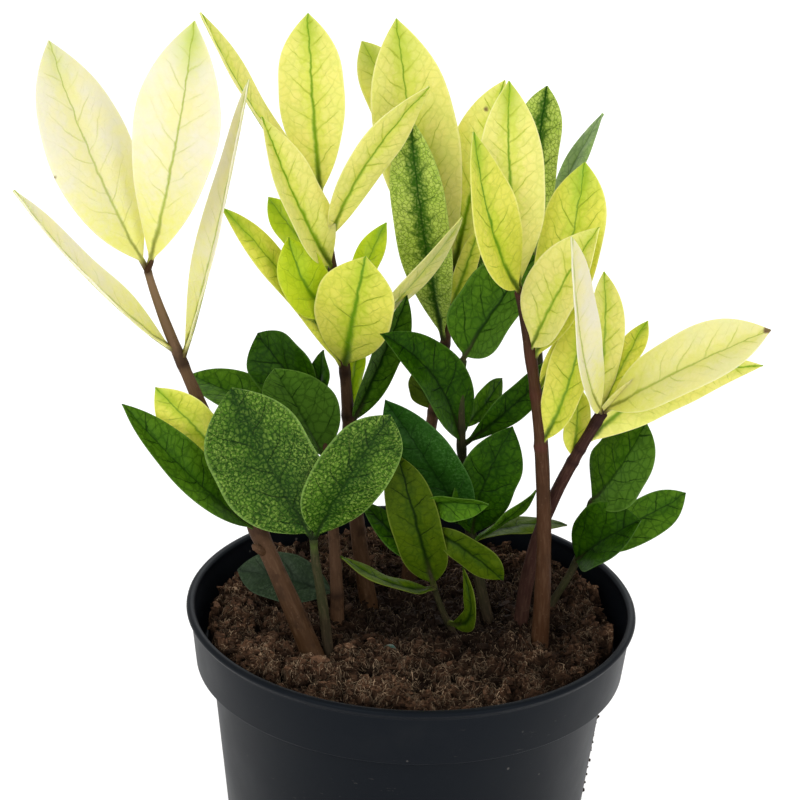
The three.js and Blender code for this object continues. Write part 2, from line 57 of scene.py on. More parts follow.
# The paler half is a painted sheen in the colour of the underside.
# The fronds, in millimetres and degrees, as the solids have them. A stem runs through four points, at its
# root, at one and two thirds and at its tip, and thins from the first radius to the second. A leaf grows at
# a share of the stem. Heading is the compass turn from +X towards +Y and rise is the slope of its midrib.
# Roll turns it about the midrib, fold lifts its halves, arch bows it towards its upper face and sway
# sideways. Belly is where it is widest and swell how broadly its outline bulges. Tip is how green its end
# is and rib how strongly its midrib is drawn. Pale is which half is paler, -1 the left and 1 the right.
# Spot is a brown blemish: its share of the half width, its share of the length and its radius.
Frond = namedtuple("Frond", "name bark through radius leaves")
Leaf = namedtuple(
    "Leaf",
    "tone at heading rise length width roll fold arch sway belly swell tip rib pale spot",
    defaults=(10, 2, 0, 0.54, 2.5, 0, 0.5, 0, (0, 0, -9)),
)
FRONDS = (
    Frond("left_tall", "tan",
          ((-23, -24, 94), (-39, -11, 126), (-59, 1, 165), (-71, 3, 197)), (3.1, 0.9), (
        Leaf("cream", 0.98, 162, 65, 64, 24, -32, fold=5, sway=-3, swell=2.4, tip=0.35, rib=0.45,
             spot=(-1, 0.51, 0.55)),
        Leaf("cream", 0.98, -26, 79, 70, 24, 92, sway=2, belly=0.62, swell=2, tip=0.8, rib=0.6),
        Leaf("cream", 0.74, -170, 48, 62, 16, -7, fold=19, arch=-2.5, belly=0.42, swell=2.3, tip=0.35,
             rib=0.6),
        Leaf("cream", 0.72, -11, 78, 80, 15, 29, fold=19, arch=-1, belly=0.36, swell=2.4, tip=0.3,
             rib=0.7),
        Leaf("yellow", 0.5, -154, 51, 32, 14, -114, arch=1, sway=1, tip=0.7, rib=0.6),
        Leaf("green", 0.36, -169, 47, 52, 14, -39, fold=21, sway=-3.5, swell=2.6),
    )),
    Frond("front_left", "green",
          ((-20, -20, 88), (-23, -19, 112), (-25, -18, 123), (-26, -18, 132)), (1.5, 1), (
        Leaf("mottled", 0.98, 170, 61, 46, 29, -84, fold=17, arch=3, swell=2.9, rib=0.4),
        Leaf("mottled", 0.98, -10, 63, 42, 20.5, 116, fold=5, sway=-2, belly=0.6, swell=3.5),
    )),
    Frond("left_dark", "brown",
          ((-20, -6, 84), (-20, 0, 108), (-23, 4, 138), (-27, 8, 162)), (2, 1.1), (
        Leaf("green", 0.73, -158, 62, 32, 20, 61, fold=16, arch=1, belly=0.48, swell=2.4, rib=0.4),
        Leaf("dark", 0.95, 154, 40, 24, 18, -80, fold=19, swell=2.7, rib=0.6),
        Leaf("dark", 0.93, -72, 82, 17, 7, 115, arch=0, belly=0.45, swell=2.4),
        Leaf("green", 0.84, 161, 13, 39, 13, -30, fold=18, sway=-1.5, belly=0.6, swell=2.6),
        Leaf("blue", 0.32, 166, 5, 28, 14, -43, fold=14, arch=1.5, swell=2.7, rib=0.4),
    )),
    Frond("centre_left", "brown",
          ((-8, 7, 85), (-16, 11, 128), (-20, 14, 167), (-28, 18, 214)), (2.5, 0.9), (
        Leaf("yellow", 0.66, -67, 71, 38, 21, 145, belly=0.62, tip=0.3, rib=1.6),
        Leaf("yellow", 0.65, -168, 55, 58, 10, -40, fold=5, sway=1, belly=0.6, tip=0.9),
        Leaf("lime", 0.77, -151, 58, 29, 14, -87, fold=14, sway=-3.5, belly=0.62, swell=2.4, tip=0.2,
             rib=0.9),
        Leaf("lime", 0.85, 153, 42, 27, 10, -88, fold=6, arch=1, belly=0.6, tip=0.6),
        Leaf("lime", 0.74, 37, 64, 31, 9, 12, arch=1, belly=0.6, swell=2.4, tip=1),
        Leaf("butter", 0.7, -8, 53, 50, 12, 153, fold=5, belly=0.6, swell=2.4, tip=0.2),
        Leaf("lime", 0.55, 56, 79, 21, 6, 66, fold=5, arch=0, swell=2.6, tip=0.3),
        Leaf("green", 0.52, -1, 70, 41, 11, 122, fold=22, arch=1, rib=1, pale=-1),
        Leaf("butter", 0.86, -155, 65, 49, 16, -62, fold=25, sway=-3, belly=0.4, swell=2.4, tip=0.4,
             rib=1),
        Leaf("butter", 0.98, 170, 56, 58, 14, 2, fold=19, arch=-2, swell=2.4, tip=0.4, rib=0.9),
        Leaf("butter", 0.98, 118, 78, 49, 17.5, -37, arch=1.5, belly=0.62, swell=2.4, tip=0.8, rib=0.8),
        Leaf("butter", 0.91, -7, 61, 51, 13, 131, fold=7, sway=-6, swell=2.4, tip=0.4, rib=0.7),
    )),
    Frond("centre", "brown",
          ((-1, 21, 82), (1, 25, 123), (5, 28, 155), (8, 29, 190)), (2.4, 1), (
        Leaf("striped", 0.8, -133, 76, 69, 15.5, -155, arch=3, belly=0.62, swell=2.6, rib=0.6),
        Leaf("butter", 0.98, -180, 76, 72, 23, -71, fold=15, arch=3, sway=-3, belly=0.6, swell=2.4,
             tip=0.6, rib=0.7),
        Leaf("butter", 0.98, 164, 66, 67, 16.5, -25, fold=5, arch=3, belly=0.78, swell=2.8, tip=0.6),
        Leaf("butter", 0.98, 30, 76, 54, 17, 28, fold=20, swell=2.9, tip=0.3, rib=0.9,
             spot=(-0.35, 0.84, 0.8)),
        Leaf("yellow", 0.89, -32, 73, 28, 6, 128, fold=14, arch=1, belly=0.45, swell=2.4, tip=0.3,
             rib=0.6),
        Leaf("mottled", 0.9, 30, 61, 28, 8, 87, fold=5, arch=1, rib=0.6),
        Leaf("olive", 0.6, 136, 47, 12, 8, 170, fold=5, arch=0, swell=2.6, rib=0.6),
    )),
    Frond("centre_dark", "green",
          ((25, 1, 86), (17, 3, 115), (12, 5, 145), (11, 9, 173)), (1.6, 1), (
        Leaf("green", 0.98, 18, 56, 34, 21, 34, fold=28, belly=0.36, swell=3.2, rib=0.8, pale=1),
        Leaf("dark", 0.7, -158, 56, 43, 17, -59, fold=23, sway=4.5, belly=0.38, swell=2.4, rib=0.7),
        Leaf("dark", 0.71, 18, 41, 35, 9.5, 93, fold=5, belly=0.6, rib=0.6),
        Leaf("green", 0.76, 49, 32, 19, 7, 73, fold=5, arch=1, belly=0.6, swell=2.6, rib=0.6),
        Leaf("dusty", 0.44, -154, 58, 50, 16.5, -118, arch=3, sway=1.5, swell=2.7),
        Leaf("dark", 0.42, -22, 74, 36, 17, 119, fold=17, sway=-2.5, swell=2.8),
        Leaf("green", 0.41, -20, 47, 25, 6.5, 153, fold=5, arch=1, swell=2.4),
        Leaf("olive", 0.41, 27, -1, 29, 7.5, 6, fold=5, arch=1, sway=-2, belly=0.6, swell=2.6),
    )),
    Frond("low_olive", "green",
          ((15, -2, 92), (8, -7, 107), (4, -9, 122), (2, -8, 139)), (0.9, 0.7), (
        Leaf("olive", 0.48, -167, 74, 41, 13.5, -109, fold=14, sway=0.5, belly=0.48, swell=4, rib=0.9),
        Leaf("olive", 0.48, -167, 24, 28, 7, -6, arch=0, sway=-5.5, swell=2.4, rib=0.6),
        Leaf("dark", 0.58, 169, 44, 27, 8, -26, fold=6, arch=0, rib=0.6),
        Leaf("olive", 0.87, -13, -30, 25, 9, 90, fold=5, arch=3, sway=-2.5, belly=0.62, rib=0.7),
        Leaf("green", 0.98, -18, 10, 18, 10, 108, fold=33, sway=-2.5),
        Leaf("olive", 0.23, -58, 73, 20, 5.5, 101, sway=8.5, belly=0.42, rib=0.6),
    )),
    Frond("right_tall", "pink",
          ((34, -11, 89), (34, -8, 127), (31, -4, 161), (24, 0, 197)), (2.4, 1.2), (
        Leaf("yellow", 0.98, -146, 70, 49, 17, -74, fold=20, arch=3, sway=-6, belly=0.48, tip=0.8,
             rib=0.8),
        Leaf("butter", 0.98, 156, 84, 56, 19.5, -38, sway=-2.5, swell=2.4, tip=0.9, rib=0.9),
        Leaf("yellow", 0.81, 45, 73, 54, 18, 13, fold=5, sway=3, belly=0.62, swell=2.8, tip=0.8, rib=0.6),
        Leaf("butter", 0.84, -24, 66, 41, 18.5, 67, fold=24, belly=0.4, swell=2.4, tip=0.5, rib=0.7),
        Leaf("yellow", 0.74, 41, 52, 28, 9, 84, fold=5, arch=1, tip=0.3, rib=0.6),
        Leaf("yellow", 0.6, 33, 72, 38, 13, 24, fold=25, sway=3, swell=2.6, tip=0.3, rib=0.7),
    )),
    Frond("right_back", "green",
          ((35, 17, 93), (35, 21, 127), (32, 23, 161), (28, 25, 199)), (2, 0.9), (
        Leaf("striped", 0.96, 72, 84, 47, 13, -11, belly=0.7, swell=2.8, tip=0.2, rib=0.8),
        Leaf("silver", 0.97, 21, 65, 42, 9, 0, fold=5, arch=1, belly=0.6, swell=2.4),
    )),
    Frond("right", "purple",
          ((29, -2, 83), (31, 1, 115), (37, 0, 139), (48, -3, 165)), (2.1, 1.4), (
        Leaf("cream", 0.98, -130, 72, 56, 14, -75, fold=22, sway=-8.5, swell=4.5, tip=0.1, rib=0.6),
        Leaf("primrose", 0.98, -10, 34, 50, 19.5, 37, fold=17, arch=3, sway=1, swell=2.7,
             spot=(-0.4, 0.99, 1.5)),
        Leaf("butter", 0.85, 5, 27, 52, 13.5, 84, fold=20, arch=3, sway=-7, belly=0.4, swell=2.3,
             tip=0.2, rib=0.8),
        Leaf("yellow", 0.98, 46, 53, 27, 8, -6, fold=5, arch=1, belly=0.66, swell=2.4, tip=0.8),
        Leaf("butter", 0.95, 88, 69, 39, 10.5, 26, fold=19, belly=0.62, tip=0.5, rib=0.6),
        Leaf("yellow", 0.8, 88, 73, 20, 8.5, 28, fold=7, arch=1, belly=0.45, swell=2.6, tip=0.3),
    )),
    Frond("right_low", "green",
          ((34, 7, 91), (39, 8, 104), (44, 10, 114), (47, 12, 132)), (1.2, 0.8), (
        Leaf("green", 0.98, -16, 62, 29, 20, 54, fold=5, sway=2.5, swell=3.2, pale=1),
        Leaf("dark", 0.65, -27, 44, 25, 20, 54, fold=31, swell=2.8, rib=0.6),
        Leaf("green", 0.75, 12, 28, 32, 12.5, 77, fold=17, swell=2.8),
    )),
)

# Sizes and colours that a user would change


def length(name, description, default):
    return bpy.props.FloatProperty(
        name=name, description=description, default=default, unit="LENGTH", precision=4
    )


def colour(name, description, default):
    return bpy.props.FloatVectorProperty(
        name=name, description=description, default=default, subtype="COLOR", size=3, min=0, max=1
    )


def count(name, description, default):
    return bpy.props.IntProperty(name=name, description=description, default=default, min=3)


def share(name, description, default):
    return bpy.props.FloatProperty(
        name=name, description=description, default=default, subtype="FACTOR", min=0, max=1
    )


class PotLook(bpy.types.PropertyGroup):
    """Sizes and colour of the nursery pot"""

    height: length("Height", "From the table to the top of the lip", 0.105)
    rim_radius: length("Rim radius", "Outside of the lip", 0.06)
    collar_height: length("Collar height", "From the step to the top of the lip", 0.0165)
    collar_foot_radius: length("Collar foot radius", "Outside of the collar at the step", 0.0572)
    body_top_radius: length("Body top radius", "Outside of the body under the step", 0.053)
    body_foot_radius: length("Body foot radius", "Outside of the body at its foot", 0.0434)
    wall: length("Wall", "Thickness of the plastic", 0.0012)
    drain_radius: length("Drain hole radius", "Radius of each hole in the bottom", 0.004)
    drain_circle: length("Drain circle", "How far the holes are from the middle", 0.03)
    drains: count("Drain holes", "Number of holes in the bottom", 8)
    segments: count("Segments", "Faces round the pot", 144)
    plastic: colour("Plastic", "Colour of the plastic", (0.004, 0.0048, 0.007))
    dust: colour("Dust", "Colour of the scuffs and of dried splashes", (0.13, 0.12, 0.11))


class SoilLook(bpy.types.PropertyGroup):
    """Sizes and colours of the potting soil"""

    level: length("Level", "Height of the soil's top", 0.1)
    top_radius: length("Top radius", "Radius of the soil at its top", 0.0545)
    crumbs: count("Crumbs", "Number of loose crumbs", 9300)
    fibres: count("Fibres", "Number of loose fibres", 10800)
    pellet_radius: length("Pellet radius", "Radius of the fertiliser pellet", 0.0013)
    dry: colour("Dry peat", "Colour of the peat where it has dried", (0.12, 0.063, 0.036))
    # This dark colour is also the painted shade in the peat's pores, low places and middle under the leaves
    wet_and_shade: colour("Wet And Shade peat", "Colour of the peat where it is moist", (0.008, 0.0042, 0.0025))
    fibre: colour("Fibre", "Colour of the coir fibres", (0.50, 0.35, 0.22))
    pellet: colour("Pellet", "Colour of the fertiliser pellet", (0.005, 0.055, 0.036))


class StemLook(bpy.types.PropertyGroup):
    """Sizes and colours of the stems"""

    sides: count("Sides", "Faces round a stem", 16)
    rings: count("Rings", "Faces along a stem", 60)
    swelling: share("Swelling", "How much a stem swells where a leaf grows", 0.16)
    tan: colour("Tan", "Bark of the tall stem on the left", (0.085, 0.045, 0.025))
    brown: colour("Brown", "Bark of the stems in the middle", (0.085, 0.045, 0.025))
    pink: colour("Pink", "Bark of the tall stem on the right", (0.056, 0.025, 0.012))
    purple: colour("Purple", "Bark of the leaning stem on the right", (0.042, 0.018, 0.014))
    green: colour("Green", "Skin of the thin stems", (0.030, 0.032, 0.013))


class LeafLook(bpy.types.PropertyGroup):
    """Sizes and colours of the leaves"""

    columns: count("Columns", "Faces across a leaf", 16)
    rows: count("Rows", "Faces along a leaf", 40)
    thickness: length("Thickness", "Thickness of a blade", 0.00045)
    vein_spacing: length("Vein spacing", "From one side vein to the next", 0.0075)
    wave: length("Wave", "How far the edges wave", 0.0005)
    cream: colour("Cream", "Blade of the palest leaves", (0.73, 0.68, 0.55))
    primrose: colour("Primrose", "Blade of the pale leaf that lies to the right", (0.70, 0.66, 0.34))
    butter: colour("Butter", "Blade of the pale yellow leaves", (0.70, 0.68, 0.19))
    yellow: colour("Yellow", "Blade of the yellow leaves", (0.61, 0.61, 0.075))
    lime: colour("Lime", "Blade of the lime leaves", (0.44, 0.55, 0.012))
    olive: colour("Olive", "Blade of the low leaves", (0.042, 0.078, 0.002))
    green: colour("Green", "Blade of the netted green leaves", (0.045, 0.125, 0.004))
    dark: colour("Dark", "Blade of the darkest leaves", (0.014, 0.055, 0.001))
    # Its bluish grey is partly the leaf's own colour and partly a painted sheen
    blue: colour("Blue", "Blade of the bluish leaf by the soil", (0.016, 0.030, 0.013))
    dusty: colour("Dusty", "Blade of the bluish green leaf with pale dust", (0.012, 0.058, 0.004))
    mottled: colour("Mottled", "Blade of the speckled leaves", (0.022, 0.075, 0.003))
    striped: colour("Striped", "Blade of the leaves with a dark middle", (0.36, 0.50, 0.065))
    silver: colour("Silver", "Blade of the greyish leaves", (0.24, 0.34, 0.13))


class StageLook(bpy.types.PropertyGroup):
    """Floor, lights and camera"""

    floor_size: length("Floor size", "Side of the floor", 8)
    floor: colour("Floor", "Colour of the floor", (0.98, 0.98, 0.98))
    focal: bpy.props.FloatProperty(
        name="Focal length", description="Focal length of the lens", default=134.66, unit="CAMERA"
    )


# Selecting, shaping and finishing pieces


def clear_selection():
    if bpy.context.mode != "OBJECT":
        bpy.ops.object.mode_set(mode="OBJECT")
    bpy.ops.object.select_all(action="DESELECT")


def take(name):
    """Names the object that an operator has just made."""
    piece = bpy.context.object
    piece.name = piece.data.name = name
    return piece


def make(name, operator, **settings):
    """Runs an operator that adds an object, and names the object."""
    clear_selection()
    operator(**settings)
    return take(name)


def points_of(mesh):
    flat = np.empty(len(mesh.vertices) * 3)
    mesh.vertices.foreach_get("co", flat)
    return flat.reshape(-1, 3)


def move_points(mesh, points):
    mesh.vertices.foreach_set("co", np.ascontiguousarray(points).ravel())
    mesh.update()


def mark(mesh, name, values):
    """Stores one number or one vector for every vertex."""
    kind, field = ("FLOAT", "value") if values.ndim == 1 else ("FLOAT_VECTOR", "vector")
    layer = mesh.attributes.new(name, kind, "POINT")
    layer.data.foreach_set(field, values.astype(np.float32).ravel())


def lay_uv(mesh, name, values):
    """A UV map that takes its values from the vertices."""
    layer = mesh.uv_layers.new(name=name)
    corners = np.empty(len(mesh.loops), np.int32)
    mesh.loops.foreach_get("vertex_index", corners)
    layer.data.foreach_set("uv", values[corners].astype(np.float32).ravel())


def face_outwards():
    """Ends an edit with all faces turned outwards."""
    bpy.ops.mesh.select_all(action="SELECT")
    bpy.ops.mesh.normals_make_consistent(inside=False)
    bpy.ops.object.mode_set(mode="OBJECT")


def apply(piece, kind, **settings):
    modifier = piece.modifiers.new(kind.title(), kind)
    for key, value in settings.items():
        setattr(modifier, key, value)
    bpy.context.view_layer.objects.active = piece
    bpy.ops.object.modifier_apply(modifier=modifier.name)


def join(name, pieces):
    clear_selection()
    for piece in pieces:
        piece.select_set(True)
    bpy.context.view_layer.objects.active = pieces[0]
    if len(pieces) > 1:
        bpy.ops.object.join()
    return take(name)


def smooth(piece, degrees):
    clear_selection()
    piece.select_set(True)
    bpy.context.view_layer.objects.active = piece
    bpy.ops.object.shade_smooth_by_angle(angle=math.radians(degrees))


def add_object(name, mesh):
    piece = bpy.data.objects.new(name, mesh)
    bpy.context.scene.collection.objects.link(piece)
    return piece


def drop(piece):
    mesh = piece.data
    bpy.data.objects.remove(piece)
    bpy.data.meshes.remove(mesh)


def stand_for(piece, node, slot_name, material=None):
    """Ends a piece: its material, what it rides on and the node that it replaces."""
    if material:
        piece.data.materials.append(material)
    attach(piece, "root")
    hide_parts(node)


# Nodes of the materials

BLACK = (0, 0, 0, 1)
OUTPUTS = {"Colour": "NodeSocketColor", "Roughness": "NodeSocketFloat", "Height": "NodeSocketFloat"}


class Wiring:
    """Adds nodes to a tree; each call gives the socket that the next one takes."""

    def __init__(self, tree):
        self.tree = tree

    def put(self, socket, value):
        if isinstance(value, bpy.types.NodeSocket):
            self.tree.links.new(value, socket)
        elif value is not None:
            socket.default_value = value

    def node(self, kind, inputs=(), output=0, **settings):
        node = self.tree.nodes.new("ShaderNode" + kind)
        for key, value in settings.items():
            setattr(node, key, value)
        for key, value in dict(inputs).items():
            self.put(node.inputs[key], value)
        return node.outputs[output]

    def math(self, operation, *values):
        return self.node("Math", dict(enumerate(values)), operation=operation)

    def chain(self, operation, first, others):
        for other in others:
            first = self.math(operation, first, other)
        return first

    def times(self, first, *others):
        return self.chain("MULTIPLY", first, others)

    def plus(self, first, *others):
        return self.chain("ADD", first, others)

    def most(self, first, *others):
        return self.chain("MAXIMUM", first, others)

    def line(self, value, slope, start):
        """The value times slope, plus start."""
        return self.math("MULTIPLY_ADD", value, slope, start)

    def ramp(self, value, low, high, start=0.0, end=1.0):
        """Rises smoothly from start to end while value goes from low to high."""
        inputs = {"Value": value, "From Min": low, "From Max": high, "To Min": start, "To Max": end}
        return self.node("MapRange", inputs, interpolation_type="SMOOTHSTEP")

    def fade(self, value, low, high):
        """Falls smoothly from 1 to 0 while value goes from low to high."""
        return self.ramp(value, low, high, 1.0, 0.0)

    def mix(self, factor, a, b):
        return self.node("Mix", {0: factor, 6: a, 7: b}, output=2, data_type="RGBA")

    def noise(self, vector, scale, detail=2.0, roughness=0.5, output=0):
        inputs = {"Vector": vector, "Scale": scale, "Detail": detail, "Roughness": roughness}
        return self.node("TexNoise", inputs, output=output)

    def cells(self, vector, scale, feature="DISTANCE_TO_EDGE"):
        return self.node("TexVoronoi", {"Vector": vector, "Scale": scale}, feature=feature)

    def mapped(self, vector, **settings):
        return self.node("Mapping", {"Vector": vector, **settings})

    def vector(self, operation, a, b=None, **settings):
        inputs = {0: a} if b is None else {0: a, 1: b}
        return self.node("VectorMath", inputs, operation=operation, **settings)

    def scale(self, vector, factor):
        return self.node("VectorMath", {0: vector, "Scale": factor}, operation="SCALE")

    def split(self, vector):
        node = self.tree.nodes.new("ShaderNodeSeparateXYZ")
        self.put(node.inputs[0], vector)
        return node.outputs[:]

    def object_place(self):
        return self.node("TexCoord", output="Object")

    def uv(self, name):
        return self.node("UVMap", uv_map=name)

    def attribute(self, name, output="Fac"):
        return self.node("Attribute", output=output, attribute_name=name)

    def give(self, colour, roughness, height):
        """Wires what a group puts out, and ends it."""
        asked = self.tree.nodes.new("NodeGroupOutput").inputs
        for socket, value in zip(asked, (colour, roughness, height)):
            self.put(socket, value)
        return self.tree


def new_group(name, colours, values=()):
    """A shader node group: named colours and values go in; colour, roughness and height come out."""
    tree = bpy.data.node_groups.new(name, "ShaderNodeTree")
    inputs = {**dict.fromkeys(colours, BLACK), **dict(values)}
    for key, default in inputs.items():
        kind = "NodeSocketColor" if key in colours else "NodeSocketFloat"
        tree.interface.new_socket(key, in_out="INPUT", socket_type=kind).default_value = default
    for key, kind in OUTPUTS.items():
        tree.interface.new_socket(key, in_out="OUTPUT", socket_type=kind)
    return Wiring(tree), tree.nodes.new("NodeGroupInput").outputs


def new_material(name, group, values, **shader_values):
    """A Principled material that takes colour, roughness and relief from a group."""
    material = bpy.data.materials.new(name)
    material.use_nodes = True
    w = Wiring(material.node_tree)
    shader = material.node_tree.nodes["Principled BSDF"]
    node = material.node_tree.nodes.new("ShaderNodeGroup")
    node.node_tree = group
    for key, value in values.items():
        node.inputs[key].default_value = value if isinstance(value, (int, float)) else (*value, 1)
    w.put(shader.inputs["Base Color"], node.outputs["Colour"])
    w.put(shader.inputs["Roughness"], node.outputs["Roughness"])
    bump = w.node("Bump", {"Height": node.outputs["Height"], "Distance": RELIEF, "Strength": 1.0})
    w.put(shader.inputs["Normal"], bump)
    for key, value in shader_values.items():
        shader.inputs[key.replace("_", " ")].default_value = value
    return material


# Pot

LIP_HEIGHT = 2.6 * MM
LIP_PROUD = 1.2 * MM
LIP_HALF_WIDTH = 1.15 * MM
LIP_HALF_HEIGHT = 1 * MM
FOOT_CHAMFER = 1.5 * MM
EDGE_ROUND = 0.5 * MM


def plastic_group():
    """Satin plastic with a fine grain, scuffs, dust and dried splashes."""
    w, given = new_group("nursery_plastic", ("Plastic", "Dust"), {"Wear": 0.5})
    place = w.object_place()
    grain = w.noise(place, 2600, 2)
    cloud = w.noise(place, 34, 4, 0.6)
    scratch = w.ramp(w.noise(w.mapped(place, Scale=(260, 260, 1500)), 1.0, 3, 0.7), 0.66, 0.72)
    scuff = w.times(scratch, w.ramp(w.noise(place, 55, 2), 0.5, 0.66))
    drops = w.fade(w.cells(place, 210, "F1"), 0.05, 0.11)
    splash = w.times(drops, w.ramp(w.noise(place, 120, 1), 0.6, 0.66))
    film = w.ramp(cloud, 0.45, 0.8, 0.0, 0.07)
    dirt = w.times(w.most(w.times(scuff, 0.55), splash, film), given["Wear"])
    rough = w.plus(w.ramp(cloud, 0.3, 0.7, 0.4, 0.48), w.times(dirt, 0.5))
    height = w.plus(w.times(grain, 0.012), w.times(scuff, -0.02))
    return w.give(w.mix(dirt, given["Plastic"], given["Dust"]), rough, height)


def pull_up(profile, segments):
    """Pulls a disc up through the rings of a profile, which leaves one closed wall."""
    (radius, height), *rest = profile
    bpy.ops.mesh.primitive_circle_add(
        vertices=segments, radius=radius, fill_type="NGON", location=(0, 0, height)
    )
    bpy.ops.object.mode_set(mode="EDIT")
    bpy.ops.mesh.select_all(action="SELECT")
    for next_radius, next_height in rest:
        bpy.ops.mesh.extrude_region_move(
            TRANSFORM_OT_translate={"value": (0, 0, next_height - height)}
        )
        grow = next_radius / radius
        bpy.ops.transform.resize(value=(grow, grow, 1), center_override=(0, 0, next_height))
        radius, height = next_radius, next_height
    face_outwards()


def inside_radius(pot, height):
    """The inside of the body's wall at a height, where the soil lies."""
    part = height / (pot.height - pot.collar_height)
    return pot.body_foot_radius + (pot.body_top_radius - pot.body_foot_radius) * part - pot.wall


def pot_profile(pot):
    """Radius and height from the bottom up the outside, round the rolled lip and down the inside."""
    step = pot.height - pot.collar_height
    lip_foot = pot.height - LIP_HEIGHT
    collar_top = pot.rim_radius - LIP_PROUD
    middle = pot.rim_radius - LIP_HALF_WIDTH
    centre = pot.height - LIP_HALF_HEIGHT
    turns = [math.radians(turn) for turn in range(-20, 201, 20)]
    return [
        (pot.body_foot_radius - FOOT_CHAMFER, 0),
        (pot.body_foot_radius, FOOT_CHAMFER),
        (pot.body_top_radius, step - pot.wall),
        (pot.collar_foot_radius, step),
        (collar_top, lip_foot),
        *((middle + LIP_HALF_WIDTH * math.cos(t), centre + LIP_HALF_HEIGHT * math.sin(t)) for t in turns),
        (collar_top - pot.wall, lip_foot),
        (pot.collar_foot_radius - pot.wall, step + pot.wall),
        (inside_radius(pot, step), step),
        (inside_radius(pot, pot.wall), pot.wall),
    ]


class PLANT_OT_pot(bpy.types.Operator):
    """Pull up the nursery pot, round its edges and cut its drain holes"""

    bl_idname = "plant.pot"
    bl_label = "Nursery pot"

    def execute(self, context):
        pot = context.scene.plant_pot
        clear_selection()
        pull_up(pot_profile(pot), pot.segments)
        piece = take("nursery_pot")
        bend = math.radians(24)
        apply(piece, "BEVEL", limit_method="ANGLE", angle_limit=bend, width=EDGE_ROUND, segments=3)
        for hole in range(pot.drains):
            turn = 2 * math.pi * (hole + 0.5) / pot.drains
            drill = make(
                "drain_drill",
                bpy.ops.mesh.primitive_cylinder_add,
                vertices=32,
                radius=pot.drain_radius,
                depth=4 * pot.wall,
                location=(pot.drain_circle * math.cos(turn), pot.drain_circle * math.sin(turn), 0),
            )
            apply(piece, "BOOLEAN", object=drill, operation="DIFFERENCE", solver="EXACT")
            drop(drill)
        smooth(piece, 32)
        values = {"Plastic": pot.plastic, "Dust": pot.dust, "Wear": 0.6}
        gloss = {"Specular_IOR_Level": 0.08, "Specular_Tint": (0.7, 0.88, 1, 1)}
        stand_for(piece, "pot", "pot", new_material("black_plastic", plastic_group(), values, **gloss))
        return {"FINISHED"}


# Soil

SOIL_GRID = 290
SOIL_EDGE = 97 * MM
SOIL_SHOULDER = 4.5 * MM
SOIL_GAP = 0.5 * MM
CLEARANCE = 0.3 * MM
EDGE_SLOPE = 2.2  # in millimetres, as sizes of crumbs and fibres are
CRUMB_SIZE = 0.38
LARGEST_CRUMB = 1.4
FIBRE_REACH = 1.15
LONGEST_FIBRE = 4.5
SPECKS = 26
DENTS = 64
PELLET_PLACE = (-5.2 * MM, -17.3 * MM)


def bumps(x, y, size, layer):
    """Noise over the soil, with bumps of a size in millimetres."""
    return noise.noise((x / size, y / size, layer))


def lumps(x, y):
    """The soil's top over its level, both in millimetres: mounds, clods and a dip in the damp middle."""
    mounds = math.sin(x / 11 + 0.6) * math.cos(y / 13 - 0.4)
    clods = math.sin(x / 4.1 - y / 5.3) + math.sin(y / 3.7 + x / 6.1 + 1.3)
    return 0.8 * (mounds + clods / 2) - 1.6 * math.exp(-(x * x + y * y) / 22**2)


def soil_rough(x, y):
    """Torn clods, crumbs and deep pores over the mounds, all in millimetres."""
    clods = 2.7 * bumps(x, y, 8.5, 3) + 1.9 * bumps(x, y, 3.5, 7)
    crumbs = 1.3 * bumps(x, y, 1.6, 1) + 0.8 * bumps(x, y, 0.85, 5)
    pores = max(0.0, bumps(x, y, 2.6, 9) - 0.18)
    return clods + crumbs - 9 * pores


def on_mound(x, y):
    """How far a place in millimetres is on the dry mound at the front."""
    return math.exp(-(((x + 6) / 24) ** 2) - ((y + 33) / 11) ** 2)


def soil_tone_and_shade(x, y):
    """How pale the peat is at a place in millimetres: dark in its pores and low places from painted shade,
    and dark in its middle under the leaves from damp and painted shade.
    """
    moist_and_shaded = math.exp(-(((x - 4) / 36) ** 2) - ((y - 1) / 23) ** 2)
    drying = 1 + 0.6 * bumps(x, y, 12, 6) + 0.7 * math.exp(-(((x + 42) / 16) ** 2))
    # Painted shade: darker where the relief is low and in the middle under the leaves, which is also damp;
    # paler on the raised clods and the dry mound
    tone = (0.36 + 0.26 * soil_rough(x, y)) * drying * (1 - 0.9 * moist_and_shaded) * (1 + 0.9 * on_mound(x, y))
    return min(1.0, max(0.02, tone))


def soil_height(soil, x, y):
    """Height of the soil in metres at a place in metres, with its clods and crumbling edge."""
    a, b = x / MM, y / MM
    edge = max(0.0, math.hypot(a, b) - (soil.top_radius / MM - EDGE_SLOPE)) / EDGE_SLOPE
    return soil.level + MM * (lumps(a, b) + soil_rough(a, b) - 1.6 * edge**2)


